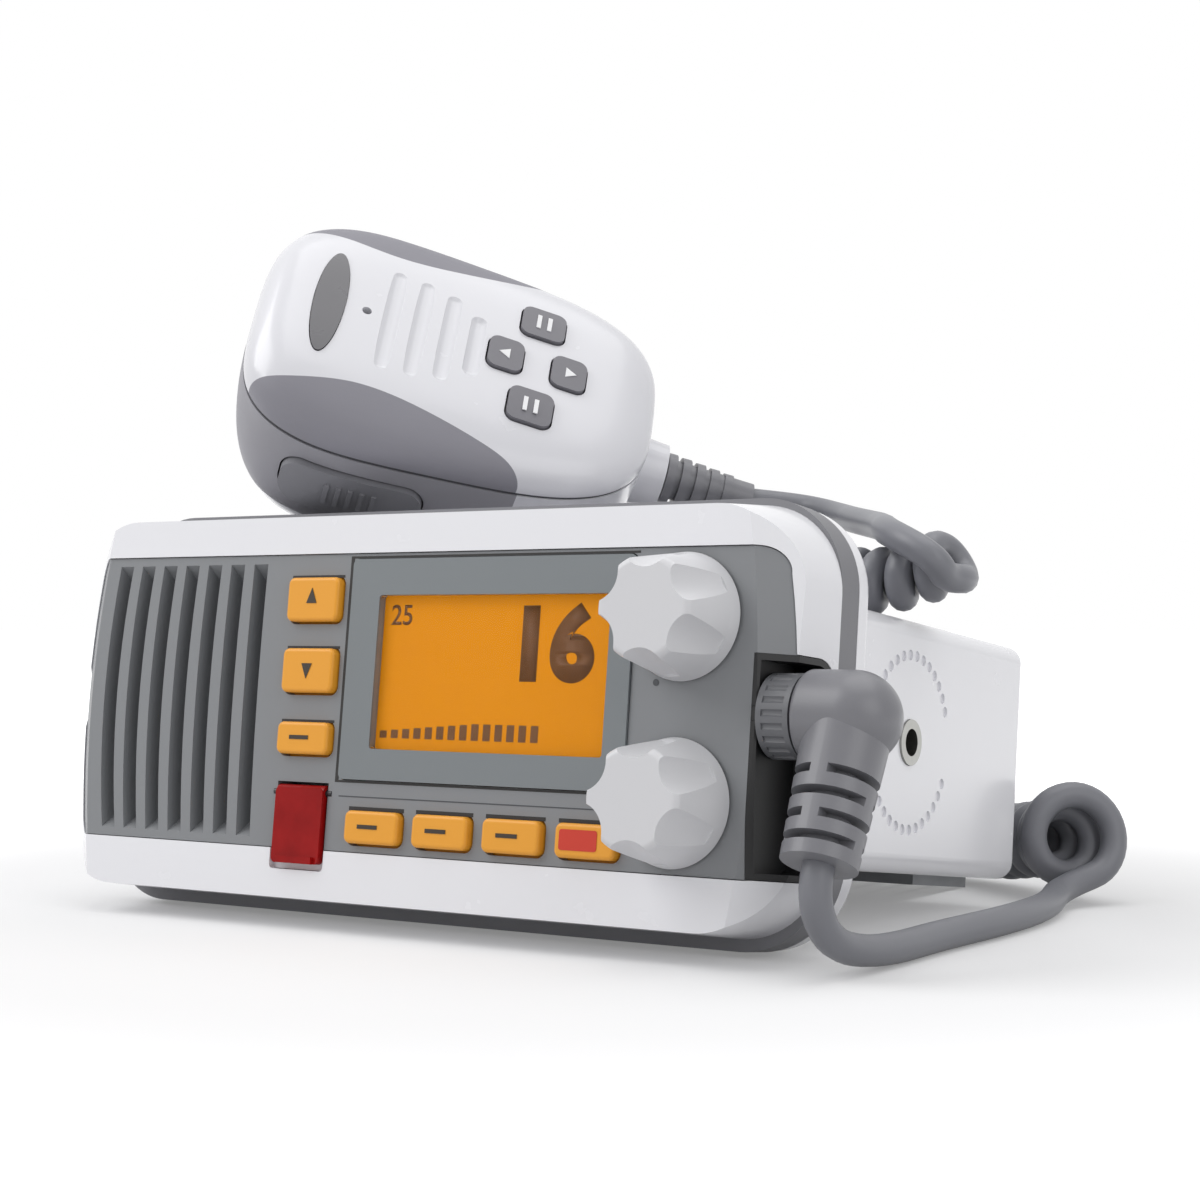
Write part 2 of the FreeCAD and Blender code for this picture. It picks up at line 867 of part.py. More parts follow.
def make_key(x, z, height):
    """A soft-cornered key cap with a flange behind the panel that holds it in."""
    half_w = key_width / 2
    half_h = height / 2
    front = panel_recess - key_proud
    back = key_flange_front + 0.5
    cap = rounded_block(x - half_w, x + half_w, front, back, z - half_h, z + half_h, key_corner)
    edges = [e for e in cap.Edges if e.BoundBox.YMax < front + 0.01]
    cap = cap.makeFillet(0.7, edges)
    flange = rounded_block(
        x - half_w - key_flange,
        x + half_w + key_flange,
        key_flange_front,
        key_flange_front + key_flange_thickness,
        z - half_h - key_flange,
        z + half_h + key_flange,
        key_corner,
    )
    return join([cap, flange])


def make_keypad():
    """The silicone keypad behind the caps, with a window for the display."""
    left = key_column - key_width / 2 - 2.5
    right = key_row_xs[-1] + key_width / 2 + 2.5
    bottom = key_row_z - key_short / 2 - 2.0
    top = key_up_z + key_tall / 2 + 2.0
    sheet = block(left, right, front_board_y - keypad_thickness, front_board_y - 0.05, bottom, top)
    domes = []
    for x, z, height in key_sizes().values():
        domes.append(
            block(x - 3.5, x + 3.5, keypad_front, front_board_y - keypad_thickness + 0.5, z - 2.0, z + 2.0)
        )
    window = block(
        lcd_left - lcd_margin - 1.5,
        right + 1,
        0,
        front_board_y + 1,
        lcd_bottom - lcd_margin - 1.5,
        top + 1,
    )
    half = flap_width / 2 + flap_gap + 1.7
    cup = block(
        key_column - half, key_column + half, 0, front_board_y + 1, bottom - 1, hinge_z + hinge_barrel + 2.2
    )
    return less(join([sheet] + domes), [window, cup])


def make_front_board():
    board = block(
        front_board_left,
        front_board_right,
        front_board_y,
        front_board_back,
        -front_board_half_height,
        front_board_half_height,
    )
    holes = []
    for side in (1, -1):
        holes.append(bar_y(pot_bushing + 0.6, knob_x, side * knob_z, front_board_y - 1, front_board_back + 1))
    socket_room = block(
        tray_left - 14, 80, front_board_y - 1, front_board_back + 1, plug_z - 8.6, plug_z + 8.6
    )
    return less(board, holes + [socket_room])


def make_flap():
    """The hinged guard over the distress key, clear red, with a lifting lip at its foot."""
    half = flap_width / 2
    front = panel_recess - flap_proud
    sheet = rounded_block(
        key_column - half, key_column + half, front, front + flap_thickness, flap_bottom, hinge_z + 0.9, 0.9
    )
    lip = block(
        key_column - half + 1.2,
        key_column + half - 1.2,
        front - 0.7,
        front + 0.5,
        flap_bottom,
        flap_bottom + 1.3,
    )
    barrel = bar_x(hinge_barrel, hinge_y, hinge_z, key_column - half, key_column + half)
    bore = bar_x(hinge_radius + pin_clearance, hinge_y, hinge_z, key_column - half - 1, key_column + half + 1)
    return less(join([sheet, lip, barrel]), [bore])


def make_hinge_pin():
    reach = flap_width / 2 + flap_gap + 0.8
    return bar_x(hinge_radius, hinge_y, hinge_z, key_column - reach, key_column + reach)


def make_alarm_key():
    half_w = alarm_key_width / 2
    half_h = alarm_key_height / 2
    cap = rounded_block(
        key_column - half_w,
        key_column + half_w,
        alarm_key_front,
        front_board_y - alarm_switch_height - alarm_key_travel,
        alarm_key_z - half_h,
        alarm_key_z + half_h,
        0.9,
    )
    flange = block(
        key_column - half_w - 1.0,
        key_column + half_w + 1.0,
        pocket_floor + 1.2 + running_gap,
        pocket_floor + 1.2 + running_gap + 0.8,
        alarm_key_z - half_h - 1.0,
        alarm_key_z + half_h + 1.0,
    )
    return join([cap, flange])


def make_knob(z):
    """A round base and a crown that narrows to six scalloped flutes."""
    base_back = panel_recess - knob_gap
    base_front = base_back - knob_base_height
    front = base_back - knob_height
    base = Part.makeCone(
        knob_base_radius,
        knob_base_radius - 0.5,
        knob_base_height,
        Vector(knob_x, base_back, z),
        Vector(0, -1, 0),
    )
    crown = Part.makeCone(
        knob_base_radius - 0.5,
        knob_crown_radius,
        knob_height - knob_base_height,
        Vector(knob_x, base_front, z),
        Vector(0, -1, 0),
    )
    rim = [e for e in crown.Edges if abs(e.BoundBox.YMin - front) < 0.01 and e.BoundBox.YLength < 0.01]
    crown = crown.makeFillet(1.3, rim)
    flutes = []
    foot_out = knob_base_radius + flute_radius - flute_base_depth
    crown_out = knob_crown_radius + flute_radius - flute_crown_depth
    for i in range(knob_flutes):
        angle = math.radians(360.0 / knob_flutes * (i + 0.5))
        out = Vector(math.cos(angle), 0, math.sin(angle))
        start = Vector(knob_x, base_front - flute_start, z) + out * foot_out
        finish = Vector(knob_x, front - 2.0, z) + out * crown_out
        axis = finish - start
        flutes.append(Part.makeCylinder(flute_radius, axis.Length, start, axis))
    crown = less(crown, flutes)
    bore = bar_y(shaft_radius + pin_clearance, knob_x, z, base_back - 9.0, base_back + 1)
    recess = less(
        bar_y(knob_base_radius - 1.8, knob_x, z, base_back - 1.6, base_back + 1),
        [bar_y(shaft_radius + 1.6, knob_x, z, base_back - 2, base_back + 2)],
    )
    bush_room = bar_y(pot_bushing + running_gap + 0.3, knob_x, z, base_back - 1.2, base_back + 1)
    return less(join([base, crown]), [bore, recess, bush_room])


def make_pot(z):
    half = pot_size / 2
    can = block(knob_x - half, knob_x + half, pot_front, pot_front + pot_depth, z - half, z + half)
    bushing = bar_y(pot_bushing, knob_x, z, bushing_front, pot_front + 0.5)
    bore = bar_y(shaft_radius + pin_clearance, knob_x, z, bushing_front - 1, pot_front + pot_depth - 1.5)
    return less(join([can, bushing]), [bore])


def make_shaft(z):
    base_back = panel_recess - knob_gap
    return bar_y(shaft_radius, knob_x, z, base_back - 8.7, pot_front + pot_depth - 2.0)


# ---------------------------------------------------------------- speaker
def make_grille_cloth():
    left = slot_first - slot_bow_first - 0.5
    right = slot_first + slot_pitch * (slot_count - 1) + slot_width + 1.9
    front = panel_recess + grille_depth + 0.05
    return block(left, right, front, front + 0.5, -slot_half_height - 0.5, slot_half_height + 0.5)


def make_speaker_frame():
    """A pressed basket: front rim, conical wall and a seat for the magnet."""
    back = speaker_front + speaker_depth
    rim = Part.makeCylinder(speaker_radius, 1.2, Vector(speaker_x, speaker_front, 0), Vector(0, 1, 0))
    rim = less(rim, [bar_y(speaker_radius - 2.4, speaker_x, 0, speaker_front - 1, speaker_front + 3)])
    mouth = Vector(speaker_x, speaker_front + 1, 0)
    cone = Part.makeCone(speaker_radius - 1.4, 11.5, speaker_depth - 6, mouth, Vector(0, 1, 0))
    hollow = Part.makeCone(speaker_radius - 2.4, 10.5, speaker_depth - 6, mouth, Vector(0, 1, 0))
    seat = bar_y(11.5, speaker_x, 0, back - 5.2, back - 4.0)
    seat = less(seat, [bar_y(7.0, speaker_x, 0, back - 6, back - 3)])
    return join([rim, less(cone, [hollow]), seat])


def make_speaker_cone():
    middle = Vector(speaker_x, speaker_front + 1.6, 0)
    outer = Part.makeCone(speaker_radius - 4.2, 6.6, speaker_depth - 9.2, middle, Vector(0, 1, 0))
    inner = Part.makeCone(speaker_radius - 5.0, 5.9, speaker_depth - 9.2, middle, Vector(0, 1, 0))
    cap = Part.makeSphere(8.0, Vector(speaker_x, speaker_front + 11.9, 0), Vector(0, 1, 0))
    cap = cap.common(outer)
    return join([less(outer, [inner]), cap])


def make_speaker_magnet():
    back = speaker_front + speaker_depth
    return bar_y(11.5, speaker_x, 0, back - 4.0 + 0.05, back + 4.0)


# ---------------------------------------------------------------- inside the case
def make_main_board():
    left = -case_half_width + case_wall + 1.5
    return block(
        left, -left, flange_back + 4, case_back - 15.0, main_board_z - board_thickness, main_board_z
    )


def board_posts():
    """Stand-offs that carry the main board on the floor of the case."""
    posts = []
    x = case_half_width - case_wall - 10
    for px in (-x, x):
        for py in (flange_back + 10, case_back - 24):
            posts.append(bar_z(3.0, px, py, case_bottom + 1, main_board_z - board_thickness - 0.05))
    return posts


def make_shield_can():
    top = main_board_z + shield_height
    can = block(shield_left, shield_right, shield_front, shield_back, main_board_z + 0.05, top)
    inside = block(
        shield_left + shield_wall,
        shield_right - shield_wall,
        shield_front + shield_wall,
        shield_back - shield_wall,
        main_board_z - 1,
        top - shield_wall,
    )
    return less(can, [inside])


# ---------------------------------------------------------------- plug and its boot
def make_mic_socket():
    nose = bar_x(nose_radius, plug_y, plug_z, tray_left - tray_wall, tray_left + nose_length)
    body_y = panel_recess + panel_wall + socket_body + 0.4
    body = bar_x(socket_body, max(plug_y, body_y), plug_z, tray_left - 10, tray_left)
    return join([nose, body])


def make_coupling_ring():
    """The knurled screw ring that locks the plug on its socket."""
    ring = bar_x(ring_radius, plug_y, plug_z, ring_left, ring_right)
    bore = bar_x(nose_radius + pin_clearance, plug_y, plug_z, ring_left - 1, ring_right + 1)
    grooves = []
    count = 20
    for i in range(count):
        angle = 2 * math.pi * i / count
        y = plug_y + (ring_radius + 0.35) * math.cos(angle)
        z = plug_z + (ring_radius + 0.35) * math.sin(angle)
        grooves.append(bar_x(0.7, y, z, ring_left + 1.0, ring_right - 1.0))
    return less(ring, [bore] + grooves)


def make_plug_body():
    """The plug's metal barrel, between the socket and the moulded boot."""
    return bar_x(nose_radius - 0.05, plug_y, plug_z, tray_left + nose_length + 0.2, boot_left + 3.0)


def outlet_direction():
    angle = math.radians(outlet_tilt)
    return Vector(0, -math.sin(angle), -math.cos(angle))


def make_boot():
    """The right-angle rubber boot; the slots make its outlet a strain relief."""
    down = outlet_direction()
    tube = bar_x(boot_radius, plug_y, plug_z, boot_left, boot_centre_x)
    mouth = [e for e in tube.Edges if abs(e.BoundBox.XMax - boot_left) < 0.01]
    tube = tube.makeFillet(1.0, mouth)
    dome = Part.makeSphere(boot_radius, Vector(boot_centre_x, plug_y, plug_z))
    start = Vector(outlet_x, plug_y, plug_z)
    stem = Part.makeCone(outlet_top_radius, outlet_foot_radius, outlet_reach, start, down)
    slots = [relief_slot(start + down * (relief_start + relief_pitch * i), i) for i in range(relief_slots)]
    boot = join([tube, dome, less(stem, slots)])
    bore_end = boot_left + 3.2
    bore = bar_x(nose_radius, plug_y, plug_z, boot_left - 1, bore_end)
    return less(boot, [bore])


def relief_slot(start, index):
    """A deep groove round the outlet, left whole at two webs that turn by a quarter each time."""
    down = outlet_direction()
    ring = Part.makeCylinder(outlet_top_radius + 2.0, relief_slot_width, start, down)
    core = Part.makeCylinder(relief_core, relief_slot_width, start, down)
    reach = outlet_top_radius + 3.0
    web = Part.makeBox(2 * reach, relief_web, relief_slot_width, Vector(-reach, -relief_web / 2, 0))
    quarter = Rotation(Vector(0, 0, 1), 90.0 * ((index + 1) % 2))
    web.Placement = Placement(start, Rotation(Vector(0, 0, 1), down).multiply(quarter))
    return less(ring, [core, web])


# ---------------------------------------------------------------- microphone
def mic_placement():
    """Where the microphone lies: u runs from its head to its cord, w out of its face."""
    yaw = math.radians(mic_yaw)
    pitch = math.radians(mic_pitch)
    tilt = math.radians(mic_tilt)
    u = Vector(math.cos(yaw) * math.cos(pitch), math.sin(yaw) * math.cos(pitch), -math.sin(pitch))
    level = Vector(-math.sin(yaw), math.cos(yaw), 0)
    v = level * math.cos(tilt) + u.cross(level) * math.sin(tilt)
    w = u.cross(v)
    matrix = FreeCAD.Matrix(
        u.x, v.x, w.x, mic_place.x,
        u.y, v.y, w.y, mic_place.y,
        u.z, v.z, w.z, mic_place.z,
        0, 0, 0, 1,
    )
    return Placement(matrix)


def front_height(share):
    """Height of the face above the seam; share runs from 0 at the head to 1 at the cord."""
    return face_height_head - (face_height_head - face_height_tail) * share


def rear_height(share):
    return rear_depth_head - (rear_depth_head - rear_depth_tail) * share * share


def shell_section(station, heights, sign, fullness, end_powers, grow):
    """A closed D across the microphone, flat on the seam; station runs from -1 to 1."""
    u = station * (mic_length / 2 + grow)
    taper = 1 - mic_taper * station
    half_width = mic_width / 2 * taper * (1 - abs(station) ** mic_squareness) ** (1 / mic_squareness)
    power = end_powers[0] if station < 0 else end_powers[1]
    ends = (1 - abs(station) ** power) ** (1 / 2.4)
    height = heights((station + 1) / 2) * ends
    half_width = half_width * (1 + grow / (mic_width / 2))
    height = height * (1 + grow / heights(0.5))
    points = []
    steps = 12
    for i in range(steps + 1):
        angle = math.pi * i / steps
        c = math.cos(angle)
        s = math.sin(angle)
        v = half_width * math.copysign(abs(c) ** (2 / fullness), c)
        points.append(Vector(u, v, sign * height * max(s, 0) ** (2 / fullness)))
    curve = Part.BSplineCurve()
    curve.interpolate(points)
    flat = Part.LineSegment(points[-1], points[0])
    return Part.Wire([curve.toShape(), flat.toShape()])


def mic_face_form(grow):
    sections = []
    for station in mic_stations:
        sections.append(shell_section(station, front_height, 1, front_fullness, front_end_powers, grow))
    return Part.makeLoft(sections, True, False)


def mic_back_form(grow):
    sections = []
    for station in mic_stations:
        sections.append(shell_section(station, rear_height, -1, rear_fullness, rear_end_powers, grow))
    return Part.makeLoft(sections, True, False)


def box_uvw(u_from, u_to, v_from, v_to, w_from, w_to):
    return Part.makeBox(u_to - u_from, v_to - v_from, w_to - w_from, Vector(u_from, v_from, w_from))


def soft_box(u_from, u_to, v_from, v_to, w_from, w_to, radius):
    """A box whose edges along w are rounded."""
    body = box_uvw(u_from, u_to, v_from, v_to, w_from, w_to)
    upright = [e for e in body.Edges if e.BoundBox.ZLength > 0.9 * (w_to - w_from)]
    return body.makeFillet(radius, upright)


def mic_keys():
    """Middle and half sizes of the four keys, by node name."""
    return {
        "mic_key_top": (mic_key_u, mic_key_out, 4.7, 4.3),
        "mic_key_bottom": (mic_key_u, -mic_key_out, 4.7, 4.3),
        "mic_key_left": (mic_key_u - mic_key_apart, 0.0, 3.7, 4.3),
        "mic_key_right": (mic_key_u + mic_key_apart, 0.0, 3.7, 4.3),
    }


def key_prism(key, grow, w_from, w_to):
    u, v, half_u, half_v = key
    a = half_u + grow
    b = half_v + grow
    return soft_box(u - a, u + a, v - b, v + b, w_from, w_to, 2.0 + grow)


def make_mic_key(key):
    cap = key_prism(key, 0, mic_key_back, 20).common(mic_face_form(mic_key_travel + 0.3))
    flange = key_prism(key, 0.9, mic_key_back, mic_key_back + 0.9)
    return join([cap, flange])


def grip_region(w_from, w_to):
    """Both soft side panels in plan: everything outside two wavy lines."""
    u_from = -mic_length / 2 - 3
    points = []
    for u, out in grip_edge:
        points.append(Vector(u, out, w_from))
    curve = Part.BSplineCurve()
    curve.interpolate(points)
    far = mic_width
    corners = [points[-1], Vector(points[-1].x, far, w_from), Vector(u_from, far, w_from), points[0]]
    edges = [curve.toShape()]
    for a, b in zip(corners, corners[1:]):
        edges.append(Part.LineSegment(a, b).toShape())
    region = Part.Face(Part.Wire(edges)).extrude(Vector(0, 0, w_to - w_from))
    return region


def mirrored(shape):
    return shape.mirror(Vector(0, 0, 0), Vector(0, 1, 0))


def front_grip(side):
    skin = less(mic_face_form(0), [mic_face_form(-grip_skin)])
    region = grip_region(-1, 25)
    if side < 0:
        region = mirrored(region)
    return skin.common(region)


def rear_grip_region():
    return box_uvw(-mic_length, rear_grip_end, -mic_width, mic_width, -rear_grip_depth, 5)


def ptt_prism(grow, v_from, v_to):
    """The rounded bar of the talk button, drawn along v."""
    u_half = ptt_length / 2 + grow
    w_half = ptt_height / 2 + grow
    bar = Part.makeBox(
        2 * u_half, v_to - v_from, 2 * w_half, Vector(ptt_u - u_half, v_from, ptt_w - w_half)
    )
    along = [e for e in bar.Edges if e.BoundBox.YLength > 0.9 * (v_to - v_from)]
    return bar.makeFillet(w_half * 0.8, along)


def make_mic_front():
    shell = less(mic_face_form(0), [mic_face_form(-mic_wall)])
    cuts = [grip_region(-1, 25), mirrored(grip_region(-1, 25))]
    skin = less(mic_face_form(0), [mic_face_form(-grip_skin)])
    shell = less(shell, [skin.common(region) for region in cuts])
    cuts = [key_prism(key, 0.35, 0.5, 20) for key in mic_keys().values()]
    for u, reach in groove_places:
        top = front_height(u / mic_length + 0.5)
        groove = Part.makeCylinder(
            groove_radius, 2 * reach, Vector(u, -reach, top + groove_radius - groove_depth), Vector(0, 1, 0)
        )
        ends = []
        for v in (-reach, reach):
            ends.append(Part.makeSphere(groove_radius, Vector(u, v, top + groove_radius - groove_depth)))
        cuts.extend([groove] + ends)
    cuts.append(badge_form(seat_gap, 0.8))
    cuts.append(Part.makeCylinder(1.0, 20, Vector(mic_hole_u, 0, 1), Vector(0, 0, 1)))
    return less(shell, cuts)


def badge_form(grow, sink):
    """Bare oval plate near the head, following the shell."""
    return less(mic_face_form(0.25).common(oval_prism(grow)), [mic_face_form(-sink)])


def oval_prism(grow):
    disc = Part.makeCylinder(1, 25)
    matrix = FreeCAD.Matrix()
    matrix.scale(badge_half_width + grow, badge_half_length + grow, 1)
    oval = disc.transformGeometry(matrix)
    oval.translate(Vector(badge_u, 0, 0))
    return oval


def make_mic_rear():
    """The deep rear shell with the collar that the cord comes out of."""
    shell = less(mic_back_form(0), [mic_back_form(-mic_wall)])
    skin = less(mic_back_form(0), [mic_back_form(-grip_skin)])
    shell = less(shell, [skin.common(rear_grip_region())])
    start = mic_length / 2 - 8
    exit_w = mic_relief_w + seal_thickness
    collar = Part.makeCone(
        collar_radius + 1.2, collar_radius, 8 + collar_length, Vector(start, 0, exit_w), Vector(1, 0, 0)
    )
    collar = less(collar, [mic_back_form(-mic_wall)])
    bore = Part.makeCylinder(
        mic_relief_root + seat_gap, 20, Vector(start - 2, 0, exit_w), Vector(1, 0, 0)
    )
    stud_hole = Part.makeCylinder(
        stud_neck + seat_gap, mic_wall * 4, Vector(stud_u, 0, -rear_depth_head - 3), Vector(0, 0, 1)
    )
    hole = ptt_prism(running_gap, -mic_width, -mic_width / 2 + 10)
    posts = []
    for u in (-22, 24):
        for v in (-12, 12):
            foot = Vector(u, v, mic_board_bottom + seal_thickness - 30)
            post = Part.makeCylinder(2.0, 30, foot, Vector(0, 0, 1))
            posts.append(post.common(mic_back_form(-grip_skin)))
    return less(join([shell, collar] + posts), [bore, stud_hole, hole])


def make_rear_grip():
    skin = less(mic_back_form(0), [mic_back_form(-grip_skin)]).common(rear_grip_region())
    hole = ptt_prism(running_gap, -mic_width, -mic_width / 2 + 10)
    return less(skin, [hole])


def make_ptt():
    """The talk button: a bar that follows the shell, ribbed in the middle, flanged inside."""
    inner = -mic_width / 2 + 7.5
    cap = ptt_prism(0, -mic_width, inner).common(mic_back_form(ptt_travel + 0.1))
    flange = ptt_prism(1.2, inner, inner + 1.0)
    ribs = []
    for i in range(ptt_ribs):
        u = ptt_u + (i - (ptt_ribs - 1) / 2) * 2.4
        ribs.append(box_uvw(u - 0.5, u + 0.5, -mic_width, inner, ptt_w - 2.6, ptt_w + 2.6))
    ribs = [rib.common(mic_back_form(ptt_travel + 0.6)) for rib in ribs]
    return join([cap, flange] + ribs)


def make_mic_seal():
    """The thin dark seal between the two shells."""
    outer = seam_wire(-0.25, 0)
    inner = seam_wire(-mic_wall, 0)
    ring = less(Part.Face(outer).extrude(Vector(0, 0, -seal_thickness)), [
        Part.Face(inner).extrude(Vector(0, 0, -seal_thickness)),
    ])
    return ring


def seam_wire(grow, w):
    points = []
    steps = 40
    for i in range(steps):
        angle = 2 * math.pi * i / steps
        c = math.cos(angle)
        s = math.sin(angle)
        station = math.copysign(abs(c) ** (2 / mic_squareness), c)
        across = math.copysign(abs(s) ** (2 / mic_squareness), s)
        u = station * (mic_length / 2 + grow)
        points.append(Vector(u, across * (mic_width / 2 + grow) * (1 - mic_taper * station), w))
    curve = Part.BSplineCurve()
    curve.interpolate(points, PeriodicFlag=True)
    return Part.Wire([curve.toShape()])


def make_mic_relief():
    """The ringed rubber sleeve on the microphone's end of the cord."""
    start = mic_length / 2 - 4
    body = Part.makeCone(
        mic_relief_root,
        mic_relief_tip,
        mic_relief_length + 10,
        Vector(start, 0, mic_relief_w),
        Vector(1, 0, 0),
    )
    rings = []
    first = mic_length / 2 + collar_length + 0.5
    pitch = (mic_relief_length - 4) / mic_relief_rings
    for i in range(mic_relief_rings):
        radius = mic_relief_root + 0.7 - 0.28 * i
        place = Vector(first + pitch * i, 0, mic_relief_w)
        rings.append(Part.makeCylinder(radius, pitch * 0.6, place, Vector(1, 0, 0)))
    return join([body] + rings)


def make_stud():
    """The button on the microphone's back that hangs it in its clip."""
    seat = -rear_height(stud_u / mic_length + 0.5)
    neck = Part.makeCylinder(
        stud_neck, stud_length + mic_wall + 2.0, Vector(stud_u, 0, seat - stud_length), Vector(0, 0, 1)
    )
    head = Part.makeCylinder(stud_radius, 2.4, Vector(stud_u, 0, seat - stud_length), Vector(0, 0, 1))
    rim = [e for e in head.Edges if e.BoundBox.ZMax < seat - stud_length + 0.01]
    head = head.makeFillet(0.9, rim)
    return join([neck, head])


def make_mic_board():
    return box_uvw(-30, 32, -19, 19, mic_board_bottom, mic_board_bottom + board_thickness)


def make_mic_capsule():
    seat = Vector(mic_hole_u, 0, mic_board_bottom + board_thickness)
    return Part.makeCylinder(4.8, 7.0, seat, Vector(0, 0, 1))


# ---------------------------------------------------------------- cord
def tube(points, diameter, report):
    """A round bar along straight runs joined by tangent arcs as large as the runs allow."""
    edges = []
    radii = []
    last = points[0]
    for before, corner, after in zip(points, points[1:], points[2:]):
        back = (before - corner).normalize()
        ahead = (after - corner).normalize()
        turn = math.pi - back.getAngle(ahead)
        trim = 0.45 * min((before - corner).Length, (after - corner).Length)
        radius = trim / math.tan(turn / 2)
        start = corner + back * trim
        finish = corner + ahead * trim
        middle = (back + ahead).normalize()
        centre = corner + middle * math.hypot(radius, trim)
        top = centre - middle * radius
        edges.append(Part.LineSegment(last, start).toShape())
        edges.append(Part.Arc(start, top, finish).toShape())
        radii.append(radius)
        last = finish
    edges.append(Part.LineSegment(last, points[-1]).toShape())
    path = Part.Wire(edges)
    heading = (points[1] - points[0]).normalize()
    ring = Part.Wire(Part.makeCircle(diameter / 2, points[0], heading))
    bar = path.makePipeShell([ring], True, False)
    ideal = math.pi * diameter ** 2 / 4 * path.Length
    shown = ", ".join("%.0f" % radius for radius in radii)
    print("%s: length %.0f, volume %.3f of section x length, bend radii %s" % (
        report, path.Length, bar.Volume / ideal, shown))
    return bar


def relief_end():
    return Vector(outlet_x, plug_y, plug_z) + outlet_direction() * outlet_reach


def mic_relief_end():
    start = mic_length / 2 - 4 + mic_relief_length + 10
    return mic_placement().multVec(Vector(start, 0, mic_relief_w))


def lead_points():
    start = leaned(relief_end())
    heading = leaned(relief_end() + outlet_direction()) - start
    return [start, start + heading * 3] + [Vector(*p) for p in lead_route]


def tail_points():
    """From the last coil turn back to the microphone."""
    finish = leaned(mic_relief_end())
    ahead = leaned(mic_placement().multVec(Vector(mic_length, 0, mic_relief_w)))
    behind = leaned(mic_placement().multVec(Vector(mic_length - 1, 0, mic_relief_w)))
    heading = (ahead - behind).normalize()
    return [Vector(*p) for p in tail_route] + [finish + heading * 9, finish]


# ---------------------------------------------------------------- build everything
keep("front_bezel", make_bezel())
keep("face_panel", make_panel())
keep("front_gasket", make_gasket())
keep("main_housing", make_housing())
keep("heat_sink", make_heat_sink())
keep("rear_screws", make_rear_screws())
keep("antenna_socket", make_antenna_socket())
keep("lead_glands", Part.makeCompound([make_gland(x) for x in gland_xs]))
keep("front_screws", make_front_screws())
keep("plug_tray", make_plug_tray())
keep("threaded_inserts", make_inserts())
keep("display_frame", make_display_frame())
keep("display_window", make_display_pane())
keep("lcd_module", make_lcd())
keep("light_guide", make_light_guide())
for key_name, (key_x, key_z, key_height) in key_sizes().items():
    keep(key_name, make_key(key_x, key_z, key_height))
keep("keypad_sheet", make_keypad())
keep("front_board", make_front_board())
keep("distress_cover", make_flap())
keep("distress_hinge_pin", make_hinge_pin())
keep("distress_key", make_alarm_key())
keep("volume_knob", make_knob(knob_z))
keep("squelch_knob", make_knob(-knob_z))
keep("knob_controls", Part.makeCompound([make_pot(knob_z), make_pot(-knob_z)]))
keep("volume_shaft", make_shaft(knob_z))
keep("squelch_shaft", make_shaft(-knob_z))
keep("grille_cloth", make_grille_cloth())
keep("speaker_frame", make_speaker_frame())
keep("speaker_cone", make_speaker_cone())
keep("speaker_magnet", make_speaker_magnet())
keep("main_board", make_main_board())
keep("shield_can", make_shield_can())
keep("mic_socket", make_mic_socket())
keep("coupling_ring", make_coupling_ring())
keep("plug_body", make_plug_body())
keep("plug_boot", make_boot())

keep("mic_front_shell", make_mic_front())
keep("mic_side_grips", Part.makeCompound([front_grip(-1), front_grip(1)]))
keep("mic_badge_plate", badge_form(0, 0.8))
keep("mic_seal", make_mic_seal())
keep("mic_rear_shell", moved(make_mic_rear(), z=-seal_thickness))
keep("mic_rear_grip", moved(make_rear_grip(), z=-seal_thickness))
keep("ptt_button", moved(make_ptt(), z=-seal_thickness))
for key_name, key in mic_keys().items():
    keep(key_name, make_mic_key(key))
keep("mic_board", make_mic_board())
keep("mic_capsule", make_mic_capsule())
keep("mic_strain_relief", make_mic_relief())
keep("hanger_stud", moved(make_stud(), z=-seal_thickness))

mic_nodes = [name for name in pieces if name.startswith("mic_") and name != "mic_socket"]
mic_nodes += ["ptt_button", "hanger_stud"]
for name in mic_nodes:
    pieces[name].Placement = mic_placement().multiply(pieces[name].Placement)

tilt_back = Placement(leaned(Vector(0, 0, 0)), Rotation(Vector(1, 0, 0), -lean))
for shape in pieces.values():
    shape.Placement = tilt_back.multiply(shape.Placement)

coil_axis = [Vector(*point) for point in coil_route]
first_turn_axis = (coil_axis[1] - coil_axis[0]).normalize()
first_turn = Part.makeCylinder(turn_diameter / 2, turn_length, coil_axis[0], first_turn_axis)
keep("cord_lead", tube(lead_points(), cord_diameter, "lead"))
keep("cord_coil", join([tube(coil_axis, coil_diameter, "coil"), first_turn]))
keep("cord_tail", tube(tail_points(), cord_diameter, "tail"))

for name, shape in pieces.items():
    if not shape.isValid():
        print("not valid:", name)
    print("%-22s solids %d volume %.0f" % (name, len(shape.Solids), shape.Volume))
    shape.exportStep("parts/%s.step" % name)
print("lean", round(lean, 2), "pieces", len(pieces))
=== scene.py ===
import bpy
import bmesh
import math
from mathutils import Matrix, Vector


